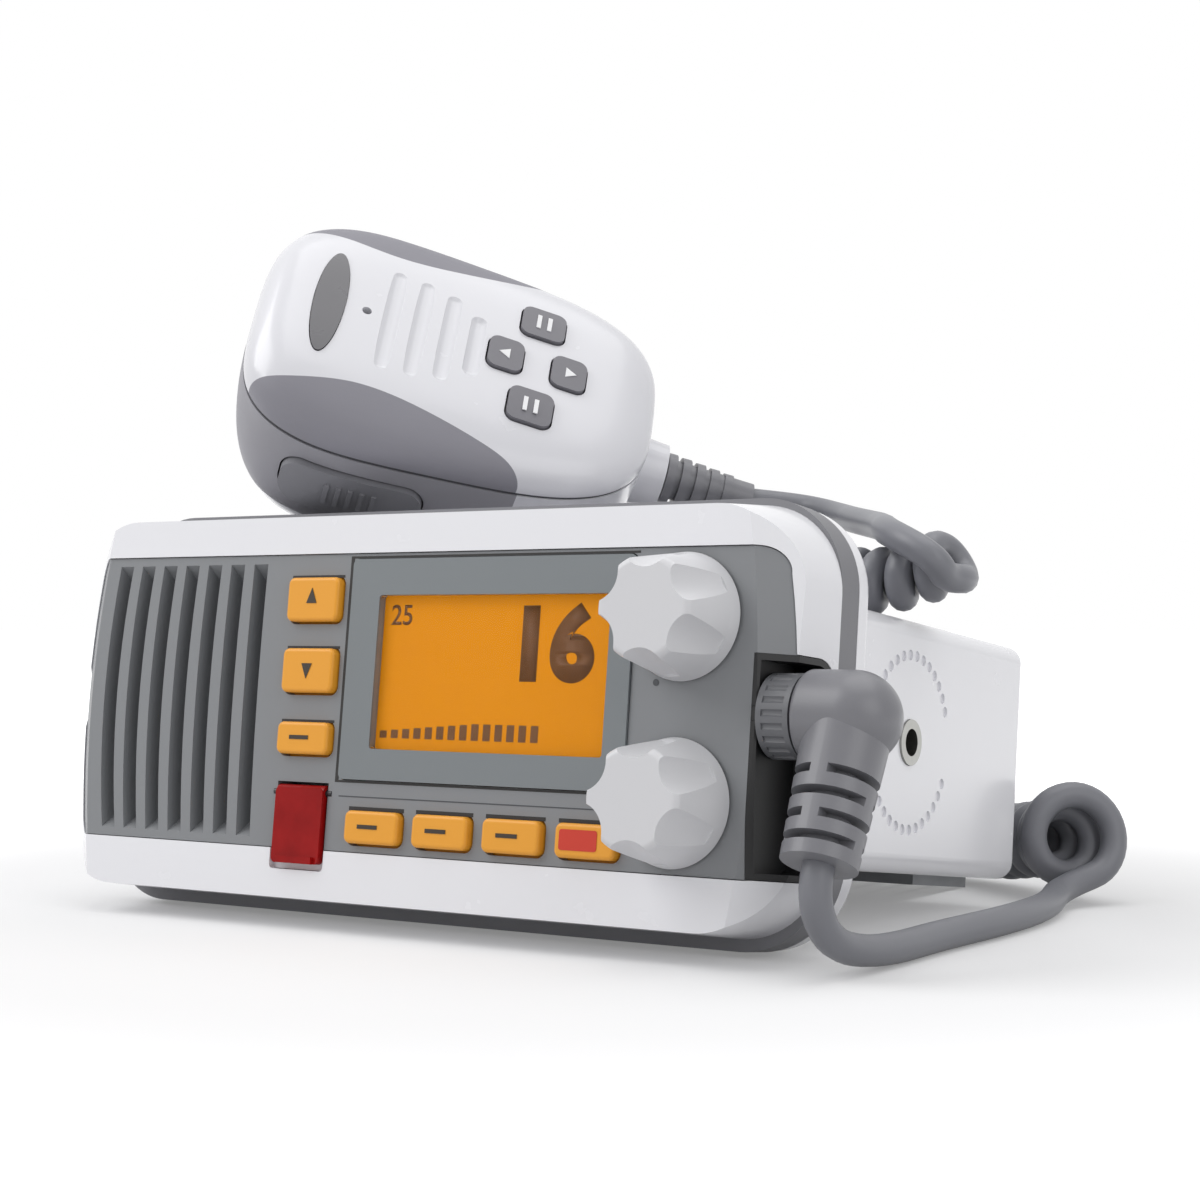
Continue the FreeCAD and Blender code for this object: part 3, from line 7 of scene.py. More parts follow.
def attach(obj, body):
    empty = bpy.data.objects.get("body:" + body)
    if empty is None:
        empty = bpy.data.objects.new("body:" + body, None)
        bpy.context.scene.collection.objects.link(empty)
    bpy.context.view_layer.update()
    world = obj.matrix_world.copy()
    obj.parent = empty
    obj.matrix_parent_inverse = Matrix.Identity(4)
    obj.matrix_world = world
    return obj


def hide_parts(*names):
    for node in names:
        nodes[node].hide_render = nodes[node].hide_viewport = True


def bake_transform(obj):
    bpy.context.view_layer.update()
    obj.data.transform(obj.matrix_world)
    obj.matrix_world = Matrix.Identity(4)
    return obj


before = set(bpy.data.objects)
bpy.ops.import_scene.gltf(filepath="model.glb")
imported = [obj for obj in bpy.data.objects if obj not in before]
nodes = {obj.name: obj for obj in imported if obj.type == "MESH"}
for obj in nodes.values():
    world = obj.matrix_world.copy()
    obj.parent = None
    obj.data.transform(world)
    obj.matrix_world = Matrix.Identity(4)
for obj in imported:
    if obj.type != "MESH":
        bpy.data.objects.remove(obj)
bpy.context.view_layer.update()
scene = bpy.context.scene
mm = 0.001
print("radio loaded with", len(nodes), "nodes")

# the radio leans back on its heat sink; its own axes are X right, Y from face to back, Z up
radioSeat = {"lean": 6.97878, "back": -56.73, "rise": 42.7492}
radioPlace = (
    Matrix.Translation((0, radioSeat["back"] * mm, radioSeat["rise"] * mm))
    @ Matrix.Rotation(-math.radians(radioSeat["lean"]), 4, "X")
    @ Matrix.Scale(mm, 4)
)
# the microphone's own axes: u from head to cord, v across, w out of its face
micSeat = {"place": (-21.9, 41.0, 71.3), "yaw": 43.3, "pitch": 10.0, "tilt": 56.4}
micPlace = (
    radioPlace
    @ Matrix.Translation(micSeat["place"])
    @ Matrix.Rotation(math.radians(micSeat["yaw"]), 4, "Z")
    @ Matrix.Rotation(math.radians(micSeat["pitch"]), 4, "Y")
    @ Matrix.Rotation(math.radians(micSeat["tilt"]), 4, "X")
)

# a low camera in front of the radio and to its right
cameraView = {
    "place": (0.261495, -0.382555, 0.058990),
    "ahead": (-0.551109, 0.834426, 0.003421),
    "right": (0.834421, 0.551118, -0.003105),
    "lens": 68.29,
    "sensor": 36.0,
    "shiftY": 5 / 1200,
    "clipNear": 0.01,
    "clipFar": 50.0,
}


def setCamera(view):
    lens = bpy.data.cameras.new("studioCamera")
    lens.lens = view["lens"]
    lens.sensor_width = view["sensor"]
    lens.shift_y = view["shiftY"]
    lens.clip_start = view["clipNear"]
    lens.clip_end = view["clipFar"]
    camera = bpy.data.objects.new("studioCamera", lens)
    scene.collection.objects.link(camera)
    ahead = Vector(view["ahead"]).normalized()
    right = Vector(view["right"]).normalized()
    up = right.cross(ahead)
    turn = Matrix((right, up, -ahead)).transposed().to_4x4()
    camera.matrix_world = Matrix.Translation(view["place"]) @ turn
    scene.camera = camera


setCamera(cameraView)
print("camera set")

# places in metres, from the plug round to the microphone
curlyCord = {
    "thick": 0.0054,
    "turns": 48.83,
    "perTurn": 12,
    # turn number and winding radius; the first turns hang slack
    "winding": [
        (0.0, 0.0086), (0.7, 0.0084), (1.5, 0.0060), (4.0, 0.0055), (8.0, 0.0038), (49.0, 0.0038),
    ],
    # small waves in that radius: height, pace by turn and start
    "waves": [(0.00014, 1.7, 0), (0.00010, 4.3, 1)],
    "firstSide": (0, 0, -1),
    "straightOn": 0.0025,  # how far the tail runs on as the last turn leaves
    # steps between two points of the coil's route, the wound cord and the tail
    "routeSteps": 12, "coilSteps": 3, "tailSteps": 8,
    "lead": [
        (0.0912, -0.0620, 0.0188), (0.0912, -0.0633, 0.0161), (0.0914, -0.0632, 0.0116),
        (0.0917, -0.0606, 0.0076), (0.0921, -0.0554, 0.0049), (0.0926, -0.0474, 0.0034),
        (0.0929, -0.0370, 0.0028), (0.0927, -0.0245, 0.0028), (0.0933, -0.0120, 0.0028),
        (0.0942, 0.0013, 0.0028), (0.0940, 0.0193, 0.0028), (0.0915, 0.0330, 0.0028),
        (0.0885, 0.0425, 0.0034),
    ],
    "coil": [
        (0.0900, 0.0516, 0.0140), (0.0750, 0.0638, 0.0118), (0.0570, 0.0773, 0.0072),
        (0.0340, 0.0803, 0.0072), (0.0130, 0.0813, 0.0140), (0.0020, 0.0828, 0.0360),
        (-0.0060, 0.0803, 0.0570), (-0.0120, 0.0573, 0.0582), (-0.0090, 0.0360, 0.0650),
        (0.0000, 0.0175, 0.0686), (0.0190, 0.0080, 0.0656), (0.0420, 0.0030, 0.0643),
        (0.0640, -0.0002, 0.0645), (0.0775, -0.0005, 0.0650), (0.0870, 0.0000, 0.0686),
    ],
    "tail": [
        (0.0880, -0.0072, 0.0652), (0.0882, -0.0106, 0.0675), (0.0858, -0.0116, 0.0698),
        (0.0808, -0.0104, 0.0722), (0.0748, -0.0045, 0.0740), (0.0690, 0.0065, 0.0750),
        (0.0610, 0.0190, 0.0760), (0.0500, 0.0320, 0.0776), (0.0410, 0.0440, 0.0790),
        (0.0316, 0.0500, 0.0810), (0.0248, 0.0482, 0.0822), (0.0186, 0.0434, 0.0830),
    ],
}


def routeCurve(name, points, thick, steps, sectionSteps=5):
    curve = bpy.data.curves.new(name, "CURVE")
    curve.dimensions = "3D"
    line = curve.splines.new("NURBS")
    line.points.add(len(points) - 1)
    for dot, place in zip(line.points, points):
        dot.co = (*place, 1.0)
    line.order_u = 3
    line.use_endpoint_u = True
    curve.resolution_u = steps
    curve.bevel_depth = thick / 2
    curve.bevel_resolution = sectionSteps
    curve.use_fill_caps = True
    piece = bpy.data.objects.new(name, curve)
    scene.collection.objects.link(piece)
    return piece


# the smooth line that a route's points give, with no place twice
def lineOf(points, steps, apart=1e-6):
    piece = routeCurve("routeOnly", points, 0.0, steps)
    mesh = bpy.data.meshes.new_from_object(piece)
    line = []
    for dot in mesh.vertices:
        if not line or (dot.co - line[-1]).length > apart:
            line.append(dot.co.copy())
    bpy.data.objects.remove(piece)
    bpy.data.meshes.remove(mesh)
    return line


def lengthOf(line):
    return sum((b - a).length for a, b in zip(line, line[1:]))


# evenly spaced places on a line, each with its heading
def stationsAlong(line, count):
    gap = lengthOf(line) / count
    stations = []
    walked = 0.0
    wanted = 0.0
    for a, b in zip(line, line[1:]):
        run = (b - a).length
        while run > 0 and wanted <= walked + run and len(stations) <= count:
            stations.append((a.lerp(b, (wanted - walked) / run), (b - a).normalized()))
            wanted += gap
        walked += run
    while len(stations) <= count:
        stations.append((line[-1].copy(), (line[-1] - line[-2]).normalized()))
    return stations


# how far the cord winds out from the coil's route at a turn
def windingRadius(winding, turn):
    for (before, inner), (after, outer) in zip(winding, winding[1:]):
        if turn <= after:
            share = (turn - before) / (after - before)
            return inner + (outer - inner) * share * share * (3 - 2 * share)
    return winding[-1][1]


# left-handed turns round the coil's route
def windCoil(cord):
    line = lineOf(cord["coil"], cord["routeSteps"])
    count = round(cord["turns"] * cord["perTurn"])
    stations = stationsAlong(line, count)
    heading = stations[0][1]
    side = Vector(cord["firstSide"])
    side = (side - heading * side.dot(heading)).normalized()
    points = []
    for i, (place, ahead) in enumerate(stations):
        side.rotate(heading.rotation_difference(ahead))
        side = (side - ahead * side.dot(ahead)).normalized()
        heading = ahead
        turn = i / cord["perTurn"]
        wave = sum(height * math.sin(turn * pace + start) for height, pace, start in cord["waves"])
        radius = windingRadius(cord["winding"], turn) + wave
        angle = -2 * math.pi * turn
        outward = side * math.cos(angle) + ahead.cross(side) * math.sin(angle)
        points.append(place + outward * radius)
    return points


# the radius of a line's tightest bend, and where it is
def tightestBend(line):
    tightest = (1.0, None)
    for a, b, c in zip(line, line[1:], line[2:]):
        area = (b - a).cross(c - a).length / 2
        if area > 0:
            radius = (b - a).length * (c - b).length * (c - a).length / (4 * area)
            tightest = min(tightest, (radius, tuple(b)))
    return tightest


# a tube mesh along the points' spline, and the line that it follows
def cordTube(name, points, thick, steps):
    piece = routeCurve(name + "Route", points, thick, steps)
    mesh = bpy.data.meshes.new_from_object(piece)
    mesh.name = name
    bpy.data.objects.remove(piece)
    for face in mesh.polygons:
        face.use_smooth = True
    tube = bpy.data.objects.new(name, mesh)
    scene.collection.objects.link(tube)
    return tube, lineOf(points, steps)


def layCord(cord):
    turns = windCoil(cord)
    coilPoints = cord["lead"] + [tuple(p) for p in turns]
    last = turns[-1]
    leaving = (last - turns[-2]).normalized()
    tailPoints = [tuple(last), tuple(last + leaving * cord["straightOn"])] + cord["tail"]
    coil, coilLine = cordTube("curlyCord", coilPoints, cord["thick"], cord["coilSteps"])
    tail, tailLine = cordTube("cordTail", tailPoints, cord["thick"], cord["tailSteps"])
    print("curly cord %.3f m, tail %.3f m" % (lengthOf(coilLine), lengthOf(tailLine)))
    print("tightest bends", tightestBend(coilLine), tightestBend(tailLine))
    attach(coil, "radio")
    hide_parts("cord_lead", "cord_coil")
    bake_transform(tail)
    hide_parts("cord_tail")
    return coil, tail


curlyCordPieces = layCord(curlyCord)
print("cord laid")


# a screen colour, 0 to 255, as the shader wants it, by the sRGB curve
def tone(red, green, blue):
    def channel(value):
        value /= 255
        return value / 12.92 if value <= 0.04045 else ((value + 0.055) / 1.055) ** 2.4
    return (channel(red), channel(green), channel(blue), 1.0)


def addNode(tree, kind, **settings):
    node = tree.nodes.new(kind)
    for name, value in settings.items():
        setattr(node, name, value)
    return node


# one calculation with two numbers or outputs
def addMath(tree, operation, first, second):
    node = addNode(tree, "ShaderNodeMath", operation=operation)
    for i, value in enumerate((first, second)):
        if isinstance(value, (int, float)):
            node.inputs[i].default_value = value
        else:
            tree.links.new(value, node.inputs[i])
    return node.outputs[0]


def scaled(tree, value, by, plus):
    return addMath(tree, "ADD", addMath(tree, "MULTIPLY", value, by), plus)


def objectPlace(tree):
    return addNode(tree, "ShaderNodeTexCoord").outputs["Object"]


def addNoise(tree, place, scale, detail):
    node = addNode(tree, "ShaderNodeTexNoise")
    node.inputs["Detail"].default_value = detail
    tree.links.new(place, node.inputs["Vector"])
    if isinstance(scale, (int, float)):
        node.inputs["Scale"].default_value = scale
    else:
        tree.links.new(scale, node.inputs["Scale"])
    return node.outputs["Fac"]


# the colour sockets of a mix node
mixSockets = {"first": 6, "second": 7, "made": 2}


def shadeColour(tree, colour, shade):
    blend = addNode(tree, "ShaderNodeMix", data_type="RGBA", blend_type="MULTIPLY")
    blend.inputs["Factor"].default_value = 1.0
    tree.links.new(colour, blend.inputs[mixSockets["first"]])
    tree.links.new(shade, blend.inputs[mixSockets["second"]])
    return blend.outputs[mixSockets["made"]]


def mixTones(tree, first, second, share):
    mix = addNode(tree, "ShaderNodeMix", data_type="RGBA")
    mix.inputs[mixSockets["first"]].default_value = tone(*first)
    mix.inputs[mixSockets["second"]].default_value = tone(*second)
    tree.links.new(share, mix.inputs["Factor"])
    return mix.outputs[mixSockets["made"]]


def addBump(tree, shader, height, strength, distance):
    dent = addNode(tree, "ShaderNodeBump")
    dent.inputs["Strength"].default_value = strength
    dent.inputs["Distance"].default_value = distance
    tree.links.new(height, dent.inputs["Height"])
    tree.links.new(dent.outputs["Normal"], shader.inputs["Normal"])


groupOutputs = {"Colour": "NodeSocketColor", "Roughness": "NodeSocketFloat", "Height": "NodeSocketFloat"}


def newGroup(name, inputs):
    group = bpy.data.node_groups.new(name, "ShaderNodeTree")
    for label, kind, value in inputs:
        socket = group.interface.new_socket(name=label, in_out="INPUT", socket_type=kind)
        socket.default_value = value
    for label, kind in groupOutputs.items():
        group.interface.new_socket(name=label, in_out="OUTPUT", socket_type=kind)
    return group, group.nodes.new("NodeGroupInput")


def closeGroup(group, colour, rough, height):
    made = group.nodes.new("NodeGroupOutput")
    group.links.new(colour, made.inputs["Colour"])
    group.links.new(rough, made.inputs["Roughness"])
    group.links.new(height, made.inputs["Height"])
    return group


# each noise as scale and detail, how far it moves the roughness, and the reach of the bumps in metres
mouldedMarks = {
    "broad": (28.0, 4.0), "smudge": (160.0, 5.0), "smudgeDepth": 0.07, "fineDetail": 2.0,
    "bumpReach": 0.0001, "coatRough": 0.12,
}


# moulded plastic or rubber: a faint mottle, handling marks and a fine grain
def makeMouldedSkin(marks):
    group, given = newGroup(
        "mouldedSkin",
        [
            ("Colour", "NodeSocketColor", (0.5, 0.5, 0.5, 1)),
            ("Gloss", "NodeSocketFloat", 0.3),
            ("Mottle", "NodeSocketFloat", 0.04),
            ("Grain Scale", "NodeSocketFloat", 2500.0),
        ],
    )
    place = objectPlace(group)
    broad = addNoise(group, place, *marks["broad"])
    smudge = addNoise(group, place, *marks["smudge"])
    fine = addNoise(group, place, given.outputs["Grain Scale"], marks["fineDetail"])
    uneven = addMath(group, "SUBTRACT", broad, 0.5)
    shade = scaled(group, uneven, given.outputs["Mottle"], 1.0)
    colour = shadeColour(group, given.outputs["Colour"], shade)
    handled = addMath(group, "SUBTRACT", smudge, 0.5)
    rough = scaled(group, handled, marks["smudgeDepth"], given.outputs["Gloss"])
    return closeGroup(group, colour, rough, fine)


brushedMarks = {
    "lines": (900.0, 3.0), "lineDepth": 0.18, "lineFloor": 0.91, "dull": (120.0, 4.0),
    "dullDepth": 0.25, "bumpReach": 0.00005,
}


# fine turned or brushed lines across a metal, with duller patches
def makeBrushedMetal(marks):
    group, given = newGroup(
        "brushedMetal",
        [
            ("Colour", "NodeSocketColor", (0.6, 0.6, 0.6, 1)),
            ("Gloss", "NodeSocketFloat", 0.3),
            ("Lines", "NodeSocketVector", (1, 1, 1)),
        ],
    )
    place = objectPlace(group)
    stretch = addNode(group, "ShaderNodeVectorMath", operation="MULTIPLY")
    group.links.new(place, stretch.inputs[0])
    group.links.new(given.outputs["Lines"], stretch.inputs[1])
    lines = addNoise(group, stretch.outputs[0], *marks["lines"])
    dull = addNoise(group, place, *marks["dull"])
    shade = scaled(group, lines, marks["lineDepth"], marks["lineFloor"])
    colour = shadeColour(group, given.outputs["Colour"], shade)
    rough = scaled(group, dull, marks["dullDepth"], given.outputs["Gloss"])
    return closeGroup(group, colour, rough, lines)


mouldedSkin = makeMouldedSkin(mouldedMarks)
brushedMetal = makeBrushedMetal(brushedMarks)
finishes = {}


def newFinish(name):
    material = bpy.data.materials.new(name)
    material.use_nodes = True
    finishes[name] = material
    return material.node_tree, material.node_tree.nodes["Principled BSDF"]


def linkSurface(tree, shader, effect, bump, reach):
    tree.links.new(effect.outputs["Colour"], shader.inputs["Base Color"])
    tree.links.new(effect.outputs["Roughness"], shader.inputs["Roughness"])
    addBump(tree, shader, effect.outputs["Height"], bump, reach)


def makeMoulded(name, colour, gloss, mottle, grain, bump, coat=0.0, glow=0.0):
    tree, shader = newFinish(name)
    effect = addNode(tree, "ShaderNodeGroup", node_tree=mouldedSkin)
    effect.inputs["Colour"].default_value = tone(*colour)
    effect.inputs["Gloss"].default_value = gloss
    effect.inputs["Mottle"].default_value = mottle
    effect.inputs["Grain Scale"].default_value = grain
    linkSurface(tree, shader, effect, bump, mouldedMarks["bumpReach"])
    shader.inputs["Coat Weight"].default_value = coat
    shader.inputs["Coat Roughness"].default_value = mouldedMarks["coatRough"]
    if glow > 0:
        tree.links.new(effect.outputs["Colour"], shader.inputs["Emission Color"])
        shader.inputs["Emission Strength"].default_value = glow


def makeMetal(name, colour, gloss, lines=(1, 1, 0.1), bump=0.06):
    tree, shader = newFinish(name)
    effect = addNode(tree, "ShaderNodeGroup", node_tree=brushedMetal)
    effect.inputs["Colour"].default_value = tone(*colour)
    effect.inputs["Gloss"].default_value = gloss
    effect.inputs["Lines"].default_value = lines
    linkSurface(tree, shader, effect, bump, brushedMarks["bumpReach"])
    shader.inputs["Metallic"].default_value = 1.0


mouldedTones = {
    "whiteShell": {
        "colour": (236, 236, 240), "gloss": 0.26, "mottle": 0.012, "grain": 3200.0,
        "bump": 0.012, "coat": 0.25,
    },
    "micShell": {
        "colour": (217, 217, 222), "gloss": 0.26, "mottle": 0.012, "grain": 3200.0,
        "bump": 0.012, "coat": 0.25,
    },
    "whiteKnob": {"colour": (211, 211, 214), "gloss": 0.40, "mottle": 0.02, "grain": 3600.0, "bump": 0.03},
    "greyPanel": {"colour": (130, 132, 135), "gloss": 0.44, "mottle": 0.05, "grain": 4200.0, "bump": 0.12},
    "greyFrame": {"colour": (122, 127, 130), "gloss": 0.36, "mottle": 0.05, "grain": 4200.0, "bump": 0.06},
    "amberKey": {
        "colour": (228, 156, 42), "gloss": 0.44, "mottle": 0.08, "grain": 3800.0,
        "bump": 0.10, "glow": 0.05,
    },
    "gasketRubber": {"colour": (126, 126, 130), "gloss": 0.58, "mottle": 0.08, "grain": 2600.0, "bump": 0.16},
    "bootRubber": {"colour": (118, 118, 123), "gloss": 0.36, "mottle": 0.10, "grain": 2600.0, "bump": 0.14},
    "cordRubber": {"colour": (118, 119, 125), "gloss": 0.42, "mottle": 0.10, "grain": 3000.0, "bump": 0.10},
    "gripGrey": {"colour": (132, 131, 139), "gloss": 0.54, "mottle": 0.06, "grain": 2200.0, "bump": 0.20},
    "gripDark": {"colour": (146, 145, 151), "gloss": 0.54, "mottle": 0.06, "grain": 2200.0, "bump": 0.20},
    "talkRubber": {"colour": (124, 124, 129), "gloss": 0.52, "mottle": 0.08, "grain": 2200.0, "bump": 0.18},
    "sealRubber": {"colour": (66, 66, 70), "gloss": 0.55, "mottle": 0.08, "grain": 2200.0, "bump": 0.18},
    "keyRubber": {"colour": (114, 113, 119), "gloss": 0.46, "mottle": 0.08, "grain": 2600.0, "bump": 0.12},
    "badgePlate": {
        "colour": (78, 77, 82), "gloss": 0.28, "mottle": 0.10, "grain": 3000.0,
        "bump": 0.04, "coat": 0.3,
    },
    "trayPlastic": {"colour": (11, 11, 13), "gloss": 0.50, "mottle": 0.10, "grain": 3000.0, "bump": 0.08},
    "blackPlastic": {"colour": (30, 30, 33), "gloss": 0.40, "mottle": 0.10, "grain": 3000.0, "bump": 0.10},
    "ringPlastic": {"colour": (104, 105, 109), "gloss": 0.38, "mottle": 0.08, "grain": 3000.0, "bump": 0.10},
    "screenPrint": {"colour": (104, 60, 8), "gloss": 0.60, "mottle": 0.10, "grain": 3000.0, "bump": 0.02},
    "keyPrint": {"colour": (44, 33, 20), "gloss": 0.55, "mottle": 0.10, "grain": 3000.0, "bump": 0.02},
    "redPrint": {"colour": (204, 52, 30), "gloss": 0.45, "mottle": 0.08, "grain": 3000.0, "bump": 0.03},
    # print for the dot between the knobs, and painted shade for the groove line under the labels
    "printAndGrooveShade": {"colour": (66, 68, 72), "gloss": 0.50, "mottle": 0.08, "grain": 3000.0, "bump": 0.02},
    "whitePrint": {"colour": (236, 236, 238), "gloss": 0.50, "mottle": 0.03, "grain": 3000.0, "bump": 0.02},
    # painted shade: the dark of the recess round the display frame and of the gaps above the keys
    "paintedGapShade": {"colour": (26, 24, 23), "gloss": 0.60, "mottle": 0.10, "grain": 3000.0, "bump": 0.02},
    "redKey": {"colour": (150, 20, 18), "gloss": 0.40, "mottle": 0.10, "grain": 3000.0, "bump": 0.08},
}
for finishName, values in mouldedTones.items():
    makeMoulded(finishName, **values)

# lines: how closely the brushing changes along X, Y and Z
metalTones = {
    "plainSteel": {"colour": (176, 176, 174), "gloss": 0.20},
    "nickelInsert": {"colour": (158, 158, 154), "gloss": 0.20, "lines": (0.1, 1, 1)},
    "castSink": {"colour": (150, 152, 155), "gloss": 0.38, "lines": (1, 0.2, 1), "bump": 0.15},
    "speakerIron": {"colour": (70, 70, 72), "gloss": 0.35},
}
for finishName, values in metalTones.items():
    makeMetal(finishName, **values)


amberScreen = {
    "dim": (196, 121, 0), "bright": (207, 130, 2), "cloud": (22.0, 2.0), "glow": 0.16, "shine": 0.1,
    "fine": (2200.0, 1.0), "fineDepth": 0.2, "rough": 0.45,
}


# the lit screen, a little uneven in its light
def makeScreen(look):
    tree, shader = newFinish("amberScreen")
    place = objectPlace(tree)
    cloud = addNoise(tree, place, *look["cloud"])
    fine = addNoise(tree, place, *look["fine"])
    colour = mixTones(tree, look["dim"], look["bright"], cloud)
    tree.links.new(colour, shader.inputs["Base Color"])
    tree.links.new(colour, shader.inputs["Emission Color"])
    shader.inputs["Emission Strength"].default_value = look["glow"]
    shader.inputs["Specular IOR Level"].default_value = look["shine"]
    tree.links.new(scaled(tree, fine, look["fineDepth"], look["rough"]), shader.inputs["Roughness"])


clearPane = {"colour": (1, 1, 1, 1), "smear": (60.0, 4.0), "smearDepth": 0.05, "bending": 1.12}


# clear window over the screen, with the faintest smear
def makePane(look):
    tree, shader = newFinish("clearPane")
    smear = addNoise(tree, objectPlace(tree), *look["smear"])
    rough = addMath(tree, "MULTIPLY", smear, look["smearDepth"])
    tree.links.new(rough, shader.inputs["Roughness"])
    shader.inputs["Base Color"].default_value = look["colour"]
    shader.inputs["Transmission Weight"].default_value = 1.0
    shader.inputs["IOR"].default_value = look["bending"]


redCover = {
    "dark": (146, 8, 10), "light": (188, 30, 30), "streak": (240.0, 3.0), "streakDepth": 0.12,
    "rough": 0.06, "clear": 0.25, "bending": 1.40, "shine": 0.15,
}


# the red flap, only partly clear and faintly streaked
def makeRedCover(look):
    tree, shader = newFinish("redCover")
    streak = addNoise(tree, objectPlace(tree), *look["streak"])
    colour = mixTones(tree, look["dark"], look["light"], streak)
    tree.links.new(colour, shader.inputs["Base Color"])
    tree.links.new(scaled(tree, streak, look["streakDepth"], look["rough"]), shader.inputs["Roughness"])
    shader.inputs["Transmission Weight"].default_value = look["clear"]
    shader.inputs["IOR"].default_value = look["bending"]
    shader.inputs["Specular IOR Level"].default_value = look["shine"]


grilleCloth = {
    "dark": (96, 96, 99), "light": (124, 124, 127), "threads": 420.0, "crooked": 0.4, "rough": 0.85,
    "bump": 0.5, "bumpReach": 0.0002,
}


# woven speaker cloth: two sets of threads, across and up
def makeCloth(look):
    tree, shader = newFinish("grilleCloth")
    place = objectPlace(tree)
    threads = []
    for direction in ("X", "Z"):
        wave = addNode(tree, "ShaderNodeTexWave", bands_direction=direction)
        wave.inputs["Scale"].default_value = look["threads"]
        wave.inputs["Distortion"].default_value = look["crooked"]
        tree.links.new(place, wave.inputs["Vector"])
        threads.append(wave.outputs["Fac"])
    height = addMath(tree, "MULTIPLY", threads[0], threads[1])
    colour = mixTones(tree, look["dark"], look["light"], height)
    tree.links.new(colour, shader.inputs["Base Color"])
    shader.inputs["Roughness"].default_value = look["rough"]
    addBump(tree, shader, height, look["bump"], look["bumpReach"])


circuitBoard = {
    "ground": (22, 84, 48), "track": (58, 128, 80), "tracks": 260.0, "trackWide": 0.06,
    "trackRough": 0.2, "rough": 0.35,
}


# green circuit board with lighter tracks
def makeBoard(look):
    tree, shader = newFinish("circuitBoard")
    cells = addNode(tree, "ShaderNodeTexVoronoi", feature="DISTANCE_TO_EDGE", distance="MANHATTAN")
    cells.inputs["Scale"].default_value = look["tracks"]
    tree.links.new(objectPlace(tree), cells.inputs["Vector"])
    track = addMath(tree, "LESS_THAN", cells.outputs["Distance"], look["trackWide"])
    colour = mixTones(tree, look["ground"], look["track"], track)
    tree.links.new(colour, shader.inputs["Base Color"])
    tree.links.new(scaled(tree, track, look["trackRough"], look["rough"]), shader.inputs["Roughness"])


makeScreen(amberScreen)
makePane(clearPane)
makeRedCover(redCover)
makeCloth(grilleCloth)
makeBoard(circuitBoard)

# nodes that aren't named here or just below are plain steel
finishOf = {
    "front_bezel": "whiteShell", "main_housing": "whiteShell", "mic_front_shell": "micShell",
    "mic_rear_shell": "micShell", "face_panel": "greyPanel", "display_frame": "greyFrame",
    "front_gasket": "gasketRubber", "lead_glands": "bootRubber", "plug_boot": "bootRubber",
    "mic_strain_relief": "bootRubber", "plug_tray": "trayPlastic", "coupling_ring": "ringPlastic",
    "volume_knob": "whiteKnob", "squelch_knob": "whiteKnob", "display_window": "clearPane",
    "light_guide": "clearPane", "lcd_module": "amberScreen", "distress_cover": "redCover",
    "distress_key": "redKey", "distress_hinge_pin": "blackPlastic", "mic_socket": "trayPlastic",
    "plug_body": "blackPlastic", "keypad_sheet": "talkRubber", "grille_cloth": "grilleCloth",
    "speaker_cone": "grilleCloth", "speaker_frame": "speakerIron", "speaker_magnet": "speakerIron",
    "front_board": "circuitBoard", "main_board": "circuitBoard", "mic_board": "circuitBoard",
    "heat_sink": "castSink", "threaded_inserts": "nickelInsert", "mic_side_grips": "gripGrey",
    "mic_rear_grip": "gripDark", "mic_seal": "sealRubber", "mic_badge_plate": "badgePlate",
    "ptt_button": "talkRubber", "mic_key_top": "keyRubber", "mic_key_bottom": "keyRubber",
    "mic_key_left": "keyRubber", "mic_key_right": "keyRubber",
}
keyNodes = ["key_channel_up", "key_channel_down", "key_enter"] + ["key_row_%d" % i for i in (1, 2, 3, 4)]
for keyNode in keyNodes:
    finishOf[keyNode] = "amberKey"


def setFinish(piece, name):
    if not piece.material_slots:
        piece.data.materials.append(finishes[name])
    for slot in piece.material_slots:
        slot.material = finishes[name]


for nodeName, node in nodes.items():
    setFinish(node, finishOf.get(nodeName, "plainSteel"))
for cordPiece in curlyCordPieces:
    setFinish(cordPiece, "cordRubber")
print("finishes set:", len(finishes))


def pieceFrom(bm, name, place, finish, body):
    bmesh.ops.recalc_face_normals(bm, faces=bm.faces)
    bm.transform(place)
    mesh = bpy.data.meshes.new(name)
    bm.to_mesh(mesh)
    bm.free()
    piece = bpy.data.objects.new(name, mesh)
    scene.collection.objects.link(piece)
    setFinish(piece, finish)
    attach(piece, body)


# where a mark drawn in its own X and Y stands upright on the radio's face
def facing(x, y, z):
    return radioPlace @ Matrix.Translation((x, y, z)) @ Matrix.Rotation(math.radians(90), 4, "X")


def raiseMark(bm, thick):
    lifted = bmesh.ops.extrude_face_region(bm, geom=bm.faces[:])
    moved = [part for part in lifted["geom"] if isinstance(part, bmesh.types.BMVert)]
    bmesh.ops.translate(bm, verts=moved, vec=(0, 0, thick))


# half the width and the whole height of the triangle in a circle of radius 1
roundTriangle = {"half": 0.866, "tall": 1.5}


def arrowMark(name, body, place, marks, finish):
    grow = (marks["half"] / roundTriangle["half"], marks["tall"] / roundTriangle["tall"], 1)
    bm = bmesh.new()
    bmesh.ops.create_circle(bm, cap_ends=True, segments=3, radius=1.0)
    bmesh.ops.scale(bm, vec=grow, verts=bm.verts)
    raiseMark(bm, marks["thick"])
    pieceFrom(bm, name, place, finish, body)


def boxMark(bm, left, right, low, high):
    made = bmesh.ops.create_grid(bm, x_segments=1, y_segments=1, size=0.5)["verts"]
    bmesh.ops.scale(bm, vec=(right - left, high - low, 1), verts=made)
    bmesh.ops.translate(bm, vec=((left + right) / 2, (low + high) / 2, 0), verts=made)
